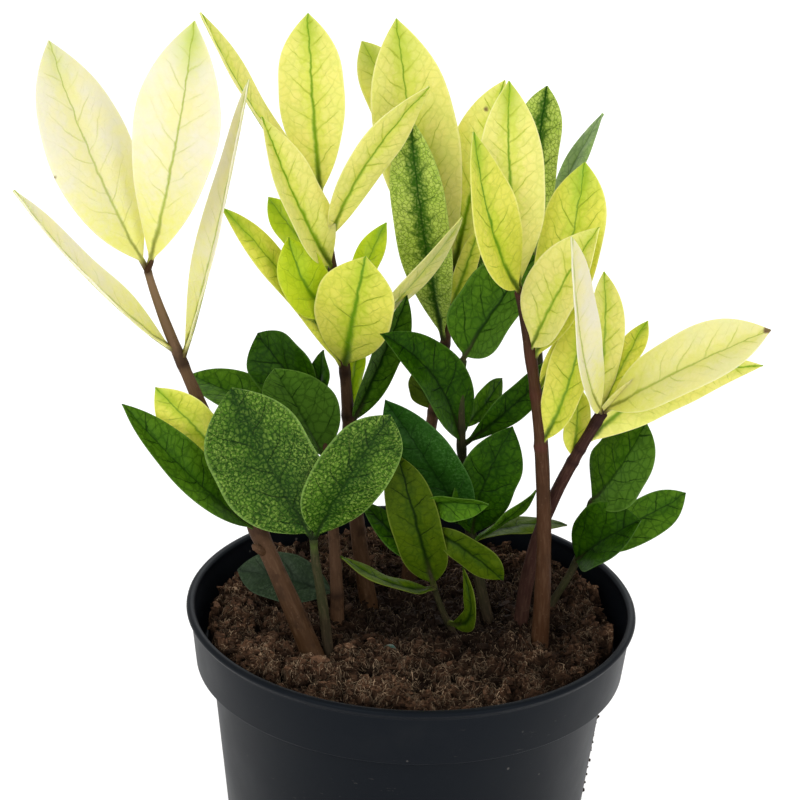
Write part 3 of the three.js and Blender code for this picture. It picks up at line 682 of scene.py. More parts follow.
def peat_group():
    """Damp coco peat: dark damp patches, a darker middle under the leaves from damp and painted shade,
    painted shade in its pores and low places, paler dried crumbs and a web of short fibres.
    """
    w, given = new_group("coco_peat", ("Dry", "Wet And Shade", "Fibre"), {"Fibres": 0.5})
    place = w.object_place()
    tone = w.attribute("peat_tone_and_shade")
    centred = w.mapped(place, Location=(-0.013, -0.012, 0), Scale=(1, 1.1, 0))
    reach = w.vector("LENGTH", centred, output=1)
    broad = w.noise(place, 95, 4, 0.6)
    moist_and_shaded = w.ramp(w.plus(reach, w.times(broad, 0.03)), 0.03, 0.055, 0.6, 0.0)
    drier_and_unshaded = w.math("SUBTRACT", 1.0, moist_and_shaded)
    fine = w.noise(place, 900, 4, 0.7)
    clod = w.noise(place, 330, 3, 0.6)
    dry = w.ramp(w.plus(w.times(fine, 0.5), w.times(clod, 0.5)), 0.34, 0.64)
    # Painted shade: the peat darkens towards its middle under the leaves and with the painted shade carried
    # in the peat tone
    body = w.mix(w.times(dry, drier_and_unshaded, tone), given["Wet And Shade"], given["Dry"])
    bent = w.vector("ADD", place, w.scale(w.noise(place, 420, 2, output=1), 0.002))
    thread = w.times(w.fade(w.cells(bent, 620), 0.015, 0.05), w.ramp(w.noise(place, 260, 2), 0.46, 0.6))
    thread = w.times(thread, w.times(given["Fibres"], tone, drier_and_unshaded))
    height = w.plus(w.times(fine, 0.5), w.times(clod, 0.6), w.times(thread, 0.12))
    return w.give(w.mix(thread, body, given["Fibre"]), w.ramp(moist_and_shaded, 0.0, 0.8, 0.92, 0.62), height)


def peat_material(name, soil, fibres, pale=1.0):
    """Peat with more or fewer drawn fibres, and paler or darker where it has dried."""
    group = bpy.data.node_groups.get("coco_peat") or peat_group()
    dry = [pale * c for c in soil.dry]
    values = {"Dry": dry, "Wet And Shade": soil.wet_and_shade, "Fibre": soil.fibre, "Fibres": fibres}
    return new_material(name, group, values, Specular_IOR_Level=0.05)


def crumble_top(mesh, soil):
    """Makes a square grid round, and gives it the soil's relief, its tone with painted shade and its bitten
    edge.
    """
    points = points_of(mesh)
    x, y = points[:, 0].copy(), points[:, 1].copy()
    points[:, 0] = x * np.sqrt(1 - y * y / 2) * soil.top_radius
    points[:, 1] = y * np.sqrt(1 - x * x / 2) * soil.top_radius
    tone = np.empty(len(points))
    for number, point in enumerate(points):
        turn = math.atan2(point[1], point[0])
        near = math.hypot(point[0], point[1]) / soil.top_radius
        bites = noise.noise((4 * math.cos(turn), 4 * math.sin(turn), 4))
        bites += 0.5 * noise.noise((13 * math.cos(turn), 13 * math.sin(turn), 8))
        point[:2] *= 1 - near**8 * 0.05 * max(-0.1, 0.35 + bites)
        point[2] = soil_height(soil, point[0], point[1])
        tone[number] = soil_tone_and_shade(point[0] / MM, point[1] / MM)
    move_points(mesh, points)
    mark(mesh, "peat_tone_and_shade", tone)


def pull_down(pot, soil):
    """Pulls the edge of the soil's top down to the bottom of the pot and closes it."""
    step = pot.height - pot.collar_height
    radius = soil.top_radius
    bpy.ops.object.mode_set(mode="EDIT")
    bpy.ops.mesh.select_all(action="DESELECT")
    bpy.ops.mesh.select_non_manifold()
    for next_radius, height in (
        (soil.top_radius, SOIL_EDGE),
        (soil.top_radius, step + SOIL_SHOULDER),
        (inside_radius(pot, step) - SOIL_GAP, step + CLEARANCE),
        (inside_radius(pot, pot.wall) - SOIL_GAP, pot.wall + CLEARANCE),
    ):
        grow = next_radius / radius
        bpy.ops.mesh.extrude_edges_move(TRANSFORM_OT_translate={"value": (0, 0, 0)})
        bpy.ops.transform.resize(value=(grow, grow, 1), center_override=(0, 0, 0))
        bpy.ops.transform.resize(value=(1, 1, 0), center_override=(0, 0, height))
        radius = next_radius
    bpy.ops.mesh.edge_face_add()
    face_outwards()


class PLANT_OT_soil(bpy.types.Operator):
    """Fill the pot with the root ball, and crumble its top"""

    bl_idname = "plant.soil"
    bl_label = "Potting soil"

    def execute(self, context):
        pot, soil = context.scene.plant_pot, context.scene.plant_soil
        grid = bpy.ops.mesh.primitive_grid_add
        piece = make("potting_soil", grid, x_subdivisions=SOIL_GRID, y_subdivisions=SOIL_GRID, size=2)
        crumble_top(piece.data, soil)
        pull_down(pot, soil)
        smooth(piece, 55)
        stand_for(piece, "soil", "soil", peat_material("moist_peat", soil, 0.7))
        return {"FINISHED"}


def gather(name, blank, placings):
    """One mesh out of many copies of a blank, each with its own tone and laid by its own function."""
    base = points_of(blank.data)
    faces = [tuple(face.vertices) for face in blank.data.polygons]
    points, loops, tones = [], [], []
    for number, (place, tone) in enumerate(placings):
        tones.append(tone)
        points.append(place(base))
        start = number * len(base)
        loops.extend(tuple(start + v for v in face) for face in faces)
    mesh = bpy.data.meshes.new(name)
    mesh.from_pydata(np.concatenate(points).tolist(), [], loops)
    mesh.update()
    mark(mesh, "peat_tone_and_shade", np.repeat(tones, len(base)))
    drop(blank)
    return add_object(name, mesh)


def draw_dents(rng):
    """How far the points of a crumb stand out; it uses as many of them as it has points."""
    return np.array([rng.uniform(0.55, 1.3) for _ in range(DENTS)])[:, None]


def crumb_placing(rng, soil):
    """A clod: a lumpy pebble of its own size and turn, half sunk in the soil."""
    reach = soil.top_radius - 1 * MM
    while True:
        x, y = (rng.uniform(-1, 1) * reach for _ in range(2))
        if math.hypot(x, y) < reach:
            break
    size = MM * min(LARGEST_CRUMB, CRUMB_SIZE * math.exp(rng.gauss(0, 0.5)))
    turn = Matrix.Rotation(rng.uniform(0, 6.28), 3, "Z") @ Matrix.Rotation(rng.uniform(0, 6.28), 3, "X")
    stretch = Matrix.Diagonal([size * rng.uniform(*span) for span in ((0.8, 2.4), (0.5, 1.1), (0.4, 0.9))])
    move = np.array(turn @ stretch)
    dents = draw_dents(rng)
    centre = np.array((x, y, soil_height(soil, x, y) + 0.25 * size))
    # The crumb's random tone, darkened by the painted shade of the peat under it
    tone = min(1.0, (0.25 + 1.3 * rng.random() ** 1.5) * soil_tone_and_shade(x / MM, y / MM))
    return lambda base: (base * dents[: len(base)]) @ move.T + centre, tone


def speck_placing(rng, pot):
    """A speck of peat that sticks to the right of the pot's body."""
    height = pot.height - pot.collar_height - MM * rng.triangular(12, 42, 20)
    turn = math.radians(rng.gauss(-3, 2.5))
    out = inside_radius(pot, height) + pot.wall
    size = MM * rng.uniform(0.3, 0.8)
    centre = np.array((out * math.cos(turn), out * math.sin(turn), height))
    dents = draw_dents(rng)
    return lambda base: size * base * dents[: len(base)] + centre, rng.uniform(0.05, 0.3)


def tube_blank(name, sides, rings):
    """A closed unit cylinder from z 0 to 1 in even rings, to be laid along a curve."""
    cylinder = bpy.ops.mesh.primitive_cylinder_add
    middle = (0, 0, 0.5)
    blank = make(name, cylinder, vertices=sides, radius=1, depth=1, end_fill_type="TRIFAN", location=middle)
    bpy.ops.object.transform_apply(location=True)
    mesh = blank.data
    bpy.ops.object.mode_set(mode="EDIT")
    form = bmesh.from_edit_mesh(mesh)
    for edge in form.edges:
        low, high = sorted(v.co.z for v in edge.verts)
        edge.select_set(high - low > 0.5)
    bmesh.update_edit_mesh(mesh)
    bpy.ops.mesh.subdivide(number_cuts=rings - 1)
    bpy.ops.object.mode_set(mode="OBJECT")
    return blank


def sweep(points, centres, radii):
    """Lays a unit cylinder along a curve: centres and radii are functions of the share of its length."""
    z = np.clip(points[:, 2], 0, 1)
    here = centres(z)
    ahead = centres(np.minimum(z + 1e-3, 1)) - centres(np.maximum(z - 1e-3, 0))
    ahead /= np.linalg.norm(ahead, axis=1)[:, None]
    side = np.cross(np.array((0.0, 1.0, 0.0)), ahead)
    side /= np.maximum(np.linalg.norm(side, axis=1), 1e-9)[:, None]
    front = np.cross(ahead, side)
    turn = np.arctan2(points[:, 1], points[:, 0])
    radius = radii(z, turn)[:, None]
    return here + radius * (points[:, :1] * side + points[:, 1:2] * front)


def fibre_placing(rng, soil):
    """A coir fibre: a short hair over the crumbs, in tufts and densest on the mound in front."""
    while True:
        x, y = (rng.uniform(-1, 1) * soil.top_radius for _ in range(2))
        if math.hypot(x, y) > soil.top_radius - 3 * MM:
            continue
        mound = on_mound(x / MM, y / MM)
        if rng.random() < 0.5 + bumps(x / MM, y / MM, 5, 2) + 0.8 * mound:
            break
    heading = rng.uniform(0, 2 * math.pi)
    reach = MM * min(LONGEST_FIBRE, FIBRE_REACH * math.exp(rng.gauss(0, 0.5)))
    curl = rng.uniform(-0.6, 0.6)
    radius = MM * rng.uniform(0.05, 0.12)
    hop = MM * rng.uniform(-0.1, 0.5)
    phase = rng.uniform(0, 6.28)

    def centres(z):
        out = np.empty((len(z), 3))
        for row, s in enumerate(z):
            turn = heading + curl * s + 0.12 * math.sin(4 * s + phase)
            a = x + reach * s * math.cos(turn)
            b = y + reach * s * math.sin(turn)
            far = math.hypot(a, b)
            if far > soil.top_radius:
                a, b = a * soil.top_radius / far, b * soil.top_radius / far
            lift = 0.25 * MM + hop * math.sin(math.pi * s)
            out[row] = a, b, soil_height(soil, a, b) + lift
        return out

    def place(base):
        return sweep(base, centres, lambda z, turn: radius * (1 - 0.6 * np.abs(2 * z - 1) ** 3))

    # The fibre's tone follows the painted shade of the peat under it, and is paler on the mound
    lit = min(1.2, 0.15 + 0.8 * soil_tone_and_shade(x / MM, y / MM) + 0.5 * mound)
    return place, (0.12 + 0.88 * rng.random() ** 1.5) * lit


def coir_material(soil):
    w, given = new_group("coir", ("Fibre", "Wet And Shade"))
    place = w.object_place()
    # Fibres darken towards the dark colour with the painted shade carried in the peat tone
    tone = w.times(w.ramp(w.noise(place, 150, 3), 0.25, 0.6, 0.4, 1.0), w.attribute("peat_tone_and_shade"))
    colour = w.mix(tone, given["Wet And Shade"], given["Fibre"])
    group = w.give(colour, w.ramp(tone, 0, 1, 0.6, 0.8), w.times(w.noise(place, 4000, 2), 0.03))
    values = {"Fibre": soil.fibre, "Wet And Shade": [0.06 * c for c in soil.fibre]}
    return new_material("coir_fibre", group, values, Specular_IOR_Level=0.1)


def pellet_material(soil):
    w, given = new_group("pellet_skin", ("Pellet", "Dust"))
    worn = w.ramp(w.noise(w.object_place(), 1400, 4, 0.7), 0.5, 0.72)
    colour = w.mix(worn, given["Pellet"], given["Dust"])
    group = w.give(colour, w.ramp(worn, 0, 1, 0.45, 0.8), w.times(worn, 0.05))
    return new_material("coated_pellet", group, {"Pellet": soil.pellet, "Dust": soil.dry})


class PLANT_OT_crumbs(bpy.types.Operator):
    """Scatter crumbs of peat over the soil"""

    bl_idname = "plant.crumbs"
    bl_label = "Peat crumbs"

    def execute(self, context):
        pot, soil = context.scene.plant_pot, context.scene.plant_soil
        rng = random.Random(SEED)
        blank = make("crumb_blank", bpy.ops.mesh.primitive_ico_sphere_add, subdivisions=1, radius=1)
        placings = [crumb_placing(rng, soil) for _ in range(soil.crumbs)]
        placings += [speck_placing(rng, pot) for _ in range(SPECKS)]
        piece = gather("peat_crumbs", blank, placings)
        smooth(piece, 25)
        stand_for(piece, "soil", "soil", peat_material("peat_crumb", soil, 0.35, 1.3))
        return {"FINISHED"}


class PLANT_OT_fibres(bpy.types.Operator):
    """Lay coir fibres over the soil"""

    bl_idname = "plant.fibres"
    bl_label = "Coir fibres"

    def execute(self, context):
        soil = context.scene.plant_soil
        rng = random.Random(SEED + 1)
        blank = tube_blank("fibre_blank", 3, 2)
        piece = gather("coir_fibres", blank, [fibre_placing(rng, soil) for _ in range(soil.fibres)])
        smooth(piece, 80)
        stand_for(piece, "soil", "soil", coir_material(soil))
        return {"FINISHED"}


class PLANT_OT_pellet(bpy.types.Operator):
    """Drop one fertiliser pellet on the soil"""

    bl_idname = "plant.pellet"
    bl_label = "Fertiliser pellet"

    def execute(self, context):
        soil = context.scene.plant_soil
        x, y = PELLET_PLACE
        piece = make(
            "fertiliser_pellet",
            bpy.ops.mesh.primitive_uv_sphere_add,
            segments=32,
            ring_count=20,
            radius=soil.pellet_radius,
            location=(x, y, soil_height(soil, x, y) + 0.3 * soil.pellet_radius),
            scale=(1.25, 1, 0.85),
        )
        bpy.ops.object.transform_apply(location=True, scale=True)
        points = points_of(piece.data)
        middle = points.mean(0)
        for point in points:
            point += (point - middle) * 0.12 * noise.noise(point * 1100)
        move_points(piece.data, points)
        bpy.ops.object.shade_smooth()
        stand_for(piece, "soil", "soil", pellet_material(soil))
        return {"FINISHED"}


# Stems

DARK_BARK = (0.018, 0.010, 0.006, 1)
PALE_BARK = (0.32, 0.20, 0.12, 1)
LEAF_KNOT = 1.3 * MM
TIP_ROUND = 1.2 * MM
# The bark at the foot, at the rings and at the tip, its blotches and where the tip's colour starts
BARK_INPUTS = ("Foot", "Ring", "Tip", "Blotches", "Tip Start")
BARKS = {
    "tan": ((0.044, 0.021, 0.009), (0.018, 0.010, 0.008), (0.20, 0.13, 0.075), 0.7, 0.55),
    "brown": ((0.044, 0.021, 0.009), (0.018, 0.010, 0.008), (0.04, 0.022, 0.014), 0.85, 0.8),
    "pink": ((0.050, 0.022, 0.010), (0.08, 0.025, 0.02), (0.03, 0.016, 0.012), 0.35, 0.8),
    "purple": ((0.05, 0.023, 0.017), (0.02, 0.009, 0.008), (0.03, 0.013, 0.011), 0.35, 0.8),
    "green": ((0.03, 0.022, 0.014), (0.016, 0.018, 0.008), (0.05, 0.08, 0.015), 0.5, 0.8),
}
# What has no leaf on a stem, by its points and radii: a sheathed bud at its top and the stub of a leaf
BUDS = {
    "left_tall": (
        (((-71, 3, 196), (-70, 2.4, 198), (-69.4, 2.2, 200), (-69, 2.2, 202)), (0.9, 0.25)),
        (((-38, -12, 124), (-39.4, -13, 125), (-40.8, -13.8, 126.2), (-42, -14.5, 127.5)), (1.5, 0.8)),
    ),
}
PALE_FRONDS = ("left_tall", "centre_left", "centre", "right_tall", "right")


def curve_of(through):
    """Points of a stem's curve in metres at shares of its length."""
    a, b, c, d = (np.array(point, float) * MM for point in through)

    def centres(u):
        u = np.asarray(u, float)[:, None]
        third, two_thirds, end = u - 1 / 3, u - 2 / 3, u - 1
        return (
            -4.5 * third * two_thirds * end * a
            + 13.5 * u * two_thirds * end * b
            - 13.5 * u * third * end * c
            + 4.5 * u * third * two_thirds * d
        )

    return centres


def bark_group():
    """Petiole skin: lengthwise streaks, blotches, pale pores and dark rings where leaves grow."""
    values = {"Blotches": 0.5, "Tip Start": 0.8}
    w, given = new_group("petiole_skin", ("Bark", "Foot", "Ring", "Tip"), values)
    along, ring, _ = w.split(w.attribute("stem_look", "Vector"))
    streak = w.noise(w.mapped(w.uv("tube_mm"), Scale=(1, 0.12, 1)), 1.6, 4, 0.6)
    place = w.object_place()
    blotch = w.noise(place, 190, 3, 0.6)
    pores = w.fade(w.cells(place, 700, "F1"), 0.1, 0.22)
    body = w.mix(w.fade(along, 0.1, 0.42), given["Bark"], given["Foot"])
    body = w.mix(w.ramp(along, given["Tip Start"], 1.0), body, given["Tip"])
    dark = w.mix(0.6, body, DARK_BARK)
    pale = w.mix(0.22, body, PALE_BARK)
    body = w.mix(w.ramp(streak, 0.42, 0.75, 0, 0.5), body, pale)
    body = w.mix(w.times(w.ramp(blotch, 0.5, 0.66), given["Blotches"]), body, dark)
    body = w.mix(w.times(pores, 0.35), body, pale)
    height = w.plus(w.times(streak, 0.16), w.times(pores, 0.03))
    return w.give(w.mix(ring, body, given["Ring"]), w.ramp(streak, 0.3, 0.8, 0.42, 0.6), height)


def lay_stem(blank, through, radius, leaves, swelling, seed):
    """A stem along its curve, ribbed, swollen where leaves grow and rounded at its tip."""
    piece = add_object("part", blank.data.copy())
    mesh = piece.data
    points = points_of(mesh)
    centres = curve_of(through)
    line = centres(np.linspace(0, 1, 100))
    reach = np.linalg.norm(np.diff(line, axis=0), axis=1).sum()
    knots = np.array(leaves or [2.0])

    def near_leaf(z):
        away = (z[:, None] - knots[None]) * reach / LEAF_KNOT
        return np.exp(-(away**2)).max(1)

    def radii(z, turn):
        ribs = 1 + 0.02 * np.cos(5 * turn + seed) + 0.012 * np.cos(9 * turn + 2 * seed + 6 * z)
        wander = 1 + 0.03 * np.sin(17 * z + seed) + 0.02 * np.sin(41 * z + 3 * seed)
        closing = np.sqrt(np.clip((1 - z) * reach / TIP_ROUND, 0.02, 1))
        body = radius[0] + (radius[1] - radius[0]) * z
        return MM * body * ribs * wander * closing * (1 + swelling * near_leaf(z))

    z = np.clip(points[:, 2], 0, 1)
    move_points(mesh, sweep(points, centres, radii))
    along = z if leaves else 0.5 * z
    mark(mesh, "stem_look", np.stack([along, 0.75 * near_leaf(z) ** 2, np.zeros(len(z))], 1))
    spin = np.empty(len(mesh.loops) * 2)
    mesh.uv_layers[0].data.foreach_get("uv", spin)
    spin = spin.reshape(-1, 2)
    spin[:, 0] *= math.pi * sum(radius)
    spin[:, 1] = (spin[:, 1] - 0.5) * 2 * reach / MM
    mesh.uv_layers.new(name="tube_mm").data.foreach_set("uv", spin.ravel())
    return piece


def leaf_slot(frond):
    return "leaf_pale" if frond.name in PALE_FRONDS else "leaf_green"


class PLANT_OT_stems(bpy.types.Operator):
    """Grow the eleven stems, with the bud at the top of the left one"""

    bl_idname = "plant.stems"
    bl_label = "Stems"

    def execute(self, context):
        stem = context.scene.plant_stem
        blank = tube_blank("stem_blank", stem.sides, stem.rings)
        group = bark_group()
        skins = {}
        for bark, row in BARKS.items():
            values = {"Bark": getattr(stem, bark), **dict(zip(BARK_INPUTS, row))}
            skins[bark] = new_material("petiole_" + bark, group, values, Specular_IOR_Level=0.04)
        for number, frond in enumerate(FRONDS):
            places = sorted({leaf.at for leaf in frond.leaves})
            parts = [lay_stem(blank, frond.through, frond.radius, places, stem.swelling, 1.7 * number)]
            for through, radius in BUDS.get(frond.name, ()):
                parts.append(lay_stem(blank, through, radius, [], stem.swelling, 0.4))
            piece = join("petiole_" + frond.name, parts)
            smooth(piece, 60)
            stand_for(piece, "stem_" + frond.name, leaf_slot(frond), skins[frond.bark])
        drop(blank)
        return {"FINISHED"}


# Leaves

PAINTS = ("Patch", "Glow", "Tip", "Vein", "Fleck", "Rim", "Midrib", "Stalk", "Under And Sheen")
SHARES = (
    "Patches", "Middle", "Base", "Veins", "Vein Reach", "Net", "Net Size", "Cells", "Flecks",
    "Rim Amount", "Under And Sheen Amount",
)
# The nine paints and the eleven shares of each tone, in the order of their names; net size in millimetres
TONES = {
    "cream": (
        (0.8, 0.73, 0.33), (0.72, 0.7, 0.15), (0.42, 0.52, 0.04),
        (0.5, 0.54, 0.09), (0.86, 0.82, 0.58), (0.86, 0.82, 0.6),
        (0.34, 0.42, 0.03), (0.1, 0.07, 0.02), (0.84, 0.8, 0.5),
        (0.45, 0.3, 0.85, 0.34, 0.2, 0.02, 3.4, 0.0, 0.1, 0.3, 0.3),
    ),
    "primrose": (
        (0.76, 0.69, 0.26), (0.62, 0.63, 0.09), (0.42, 0.52, 0.04),
        (0.42, 0.47, 0.06), (0.84, 0.79, 0.45), (0.84, 0.79, 0.48),
        (0.3, 0.38, 0.02), (0.1, 0.07, 0.02), (0.8, 0.76, 0.4),
        (0.55, 0.4, 0.8, 0.5, 0.35, 0.04, 3.4, 0.0, 0.15, 0.3, 0.3),
    ),
    "butter": (
        (0.8, 0.71, 0.22), (0.58, 0.64, 0.05), (0.33, 0.46, 0.01),
        (0.36, 0.42, 0.02), (0.84, 0.8, 0.36), (0.88, 0.84, 0.45),
        (0.2, 0.35, 0.004), (0.04, 0.025, 0.008), (0.8, 0.77, 0.28),
        (0.65, 0.6, 0.15, 0.65, 0.5, 0.16, 2.6, 0.1, 0.25, 0.35, 0.25),
    ),
    "yellow": (
        (0.74, 0.68, 0.12), (0.42, 0.54, 0.012), (0.24, 0.42, 0.008),
        (0.27, 0.35, 0.01), (0.76, 0.74, 0.18), (0.8, 0.76, 0.3),
        (0.14, 0.29, 0.004), (0.03, 0.02, 0.007), (0.7, 0.68, 0.15),
        (0.6, 0.6, 0.2, 0.75, 0.6, 0.2, 2.4, 0.15, 0.25, 0.4, 0.3),
    ),
    "lime": (
        (0.52, 0.6, 0.02), (0.3, 0.46, 0.004), (0.22, 0.4, 0.004),
        (0.22, 0.34, 0.004), (0.56, 0.63, 0.04), (0.6, 0.64, 0.12),
        (0.14, 0.28, 0.003), (0.04, 0.03, 0.01), (0.5, 0.57, 0.05),
        (0.5, 0.5, 0.3, 0.5, 0.5, 0.2, 2.4, 0.15, 0.2, 0.35, 0.3),
    ),
    "olive": (
        (0.065, 0.105, 0.003), (0.018, 0.05, 0.002), (0.07, 0.11, 0.004),
        (0.006, 0.016, 0.001), (0.09, 0.13, 0.005), (0.16, 0.2, 0.03),
        (0.006, 0.018, 0.001), (0.05, 0.05, 0.015), (0.09, 0.13, 0.012),
        (0.6, 0.6, 0.2, 0.75, 0.45, 0.18, 2.2, 0.2, 0.25, 0.5, 0.4),
    ),
    "green": (
        (0.07, 0.165, 0.006), (0.016, 0.07, 0.002), (0.06, 0.14, 0.006),
        (0.006, 0.026, 0.001), (0.1, 0.21, 0.014), (0.16, 0.28, 0.06),
        (0.008, 0.03, 0.002), (0.05, 0.045, 0.02), (0.08, 0.18, 0.022),
        (0.6, 0.5, 0.15, 0.85, 0.8, 0.36, 2.5, 0.28, 0.4, 0.3, 0.5),
    ),
    "dark": (
        (0.032, 0.1, 0.002), (0.006, 0.032, 0.001), (0.03, 0.08, 0.003),
        (0.002, 0.011, 0.0005), (0.055, 0.135, 0.004), (0.11, 0.21, 0.04),
        (0.003, 0.014, 0.001), (0.03, 0.025, 0.01), (0.035, 0.11, 0.015),
        (0.6, 0.5, 0.15, 0.8, 0.8, 0.34, 2.4, 0.22, 0.4, 0.3, 0.5),
    ),
    # The bluish grey of this tone is partly the leaf's own colour and partly a painted sheen
    "blue": (
        (0.03, 0.052, 0.024), (0.009, 0.018, 0.009), (0.02, 0.04, 0.02),
        (0.004, 0.01, 0.004), (0.06, 0.09, 0.05), (0.08, 0.12, 0.07),
        (0.005, 0.012, 0.005), (0.025, 0.03, 0.015), (0.05, 0.08, 0.05),
        (0.6, 0.5, 0.15, 0.5, 0.7, 0.15, 2.0, 0.12, 0.55, 0.3, 0.4),
    ),
    "dusty": (
        (0.02, 0.085, 0.006), (0.006, 0.032, 0.002), (0.02, 0.07, 0.008),
        (0.003, 0.018, 0.002), (0.07, 0.18, 0.04), (0.1, 0.22, 0.06),
        (0.004, 0.022, 0.002), (0.025, 0.03, 0.015), (0.04, 0.11, 0.03),
        (0.6, 0.5, 0.15, 0.5, 0.7, 0.15, 2.0, 0.12, 0.5, 0.3, 0.4),
    ),
    "mottled": (
        (0.06, 0.15, 0.008), (0.01, 0.045, 0.002), (0.05, 0.12, 0.008),
        (0.004, 0.018, 0.001), (0.24, 0.36, 0.06), (0.24, 0.38, 0.09),
        (0.006, 0.026, 0.002), (0.01, 0.016, 0.005), (0.06, 0.13, 0.012),
        (0.75, 0.85, 0.1, 0.8, 0.8, 0.6, 1.2, 0.22, 0.8, 0.45, 0.4),
    ),
    "striped": (
        (0.52, 0.63, 0.12), (0.016, 0.085, 0.002), (0.05, 0.14, 0.005),
        (0.03, 0.1, 0.004), (0.62, 0.7, 0.2), (0.5, 0.6, 0.16),
        (0.01, 0.05, 0.002), (0.04, 0.04, 0.015), (0.16, 0.24, 0.08),
        (0.6, 0.95, 0.1, 0.6, 0.85, 0.55, 1.15, 0.2, 0.6, 0.4, 0.5),
    ),
    "silver": (
        (0.34, 0.46, 0.21), (0.14, 0.25, 0.05), (0.15, 0.25, 0.06),
        (0.08, 0.16, 0.04), (0.4, 0.5, 0.27), (0.1, 0.18, 0.05),
        (0.08, 0.16, 0.04), (0.06, 0.06, 0.03), (0.27, 0.37, 0.16),
        (0.6, 0.35, 0.2, 0.5, 0.8, 0.3, 2.2, 0.2, 0.35, 0.5, 0.5),
    ),
}
PALE_TONES = ("cream", "primrose", "butter", "yellow", "lime", "silver")
DUSTY_TONES = ("blue", "dusty", "mottled")
# How far light goes through a pale blade
SOFT = {"Subsurface_Weight": 0.5, "Subsurface_Radius": (0.85, 1.0, 0.45), "Subsurface_Scale": 1.2 * MM}
SPOT_BROWN = (0.13, 0.06, 0.025, 1)
# As in the solids, but finer: where the blade starts, and half the width of its stalk and of its tip
STALK_SHARE = 0.05
STALK_HALF_WIDTH = 0.85
TIP_HALF_WIDTH = 0.12
# Depths of the groove over the midrib, of the ridge under it and of the quilting between veins
GROOVE = 0.3
RIDGE = 0.42
QUILT = 0.13
# How steeply side veins leave the midrib and how they curve, and how far the right ones are shifted
VEIN_RISE = 0.75
VEIN_CURVE = 0.035
VEIN_SHIFT = 0.42


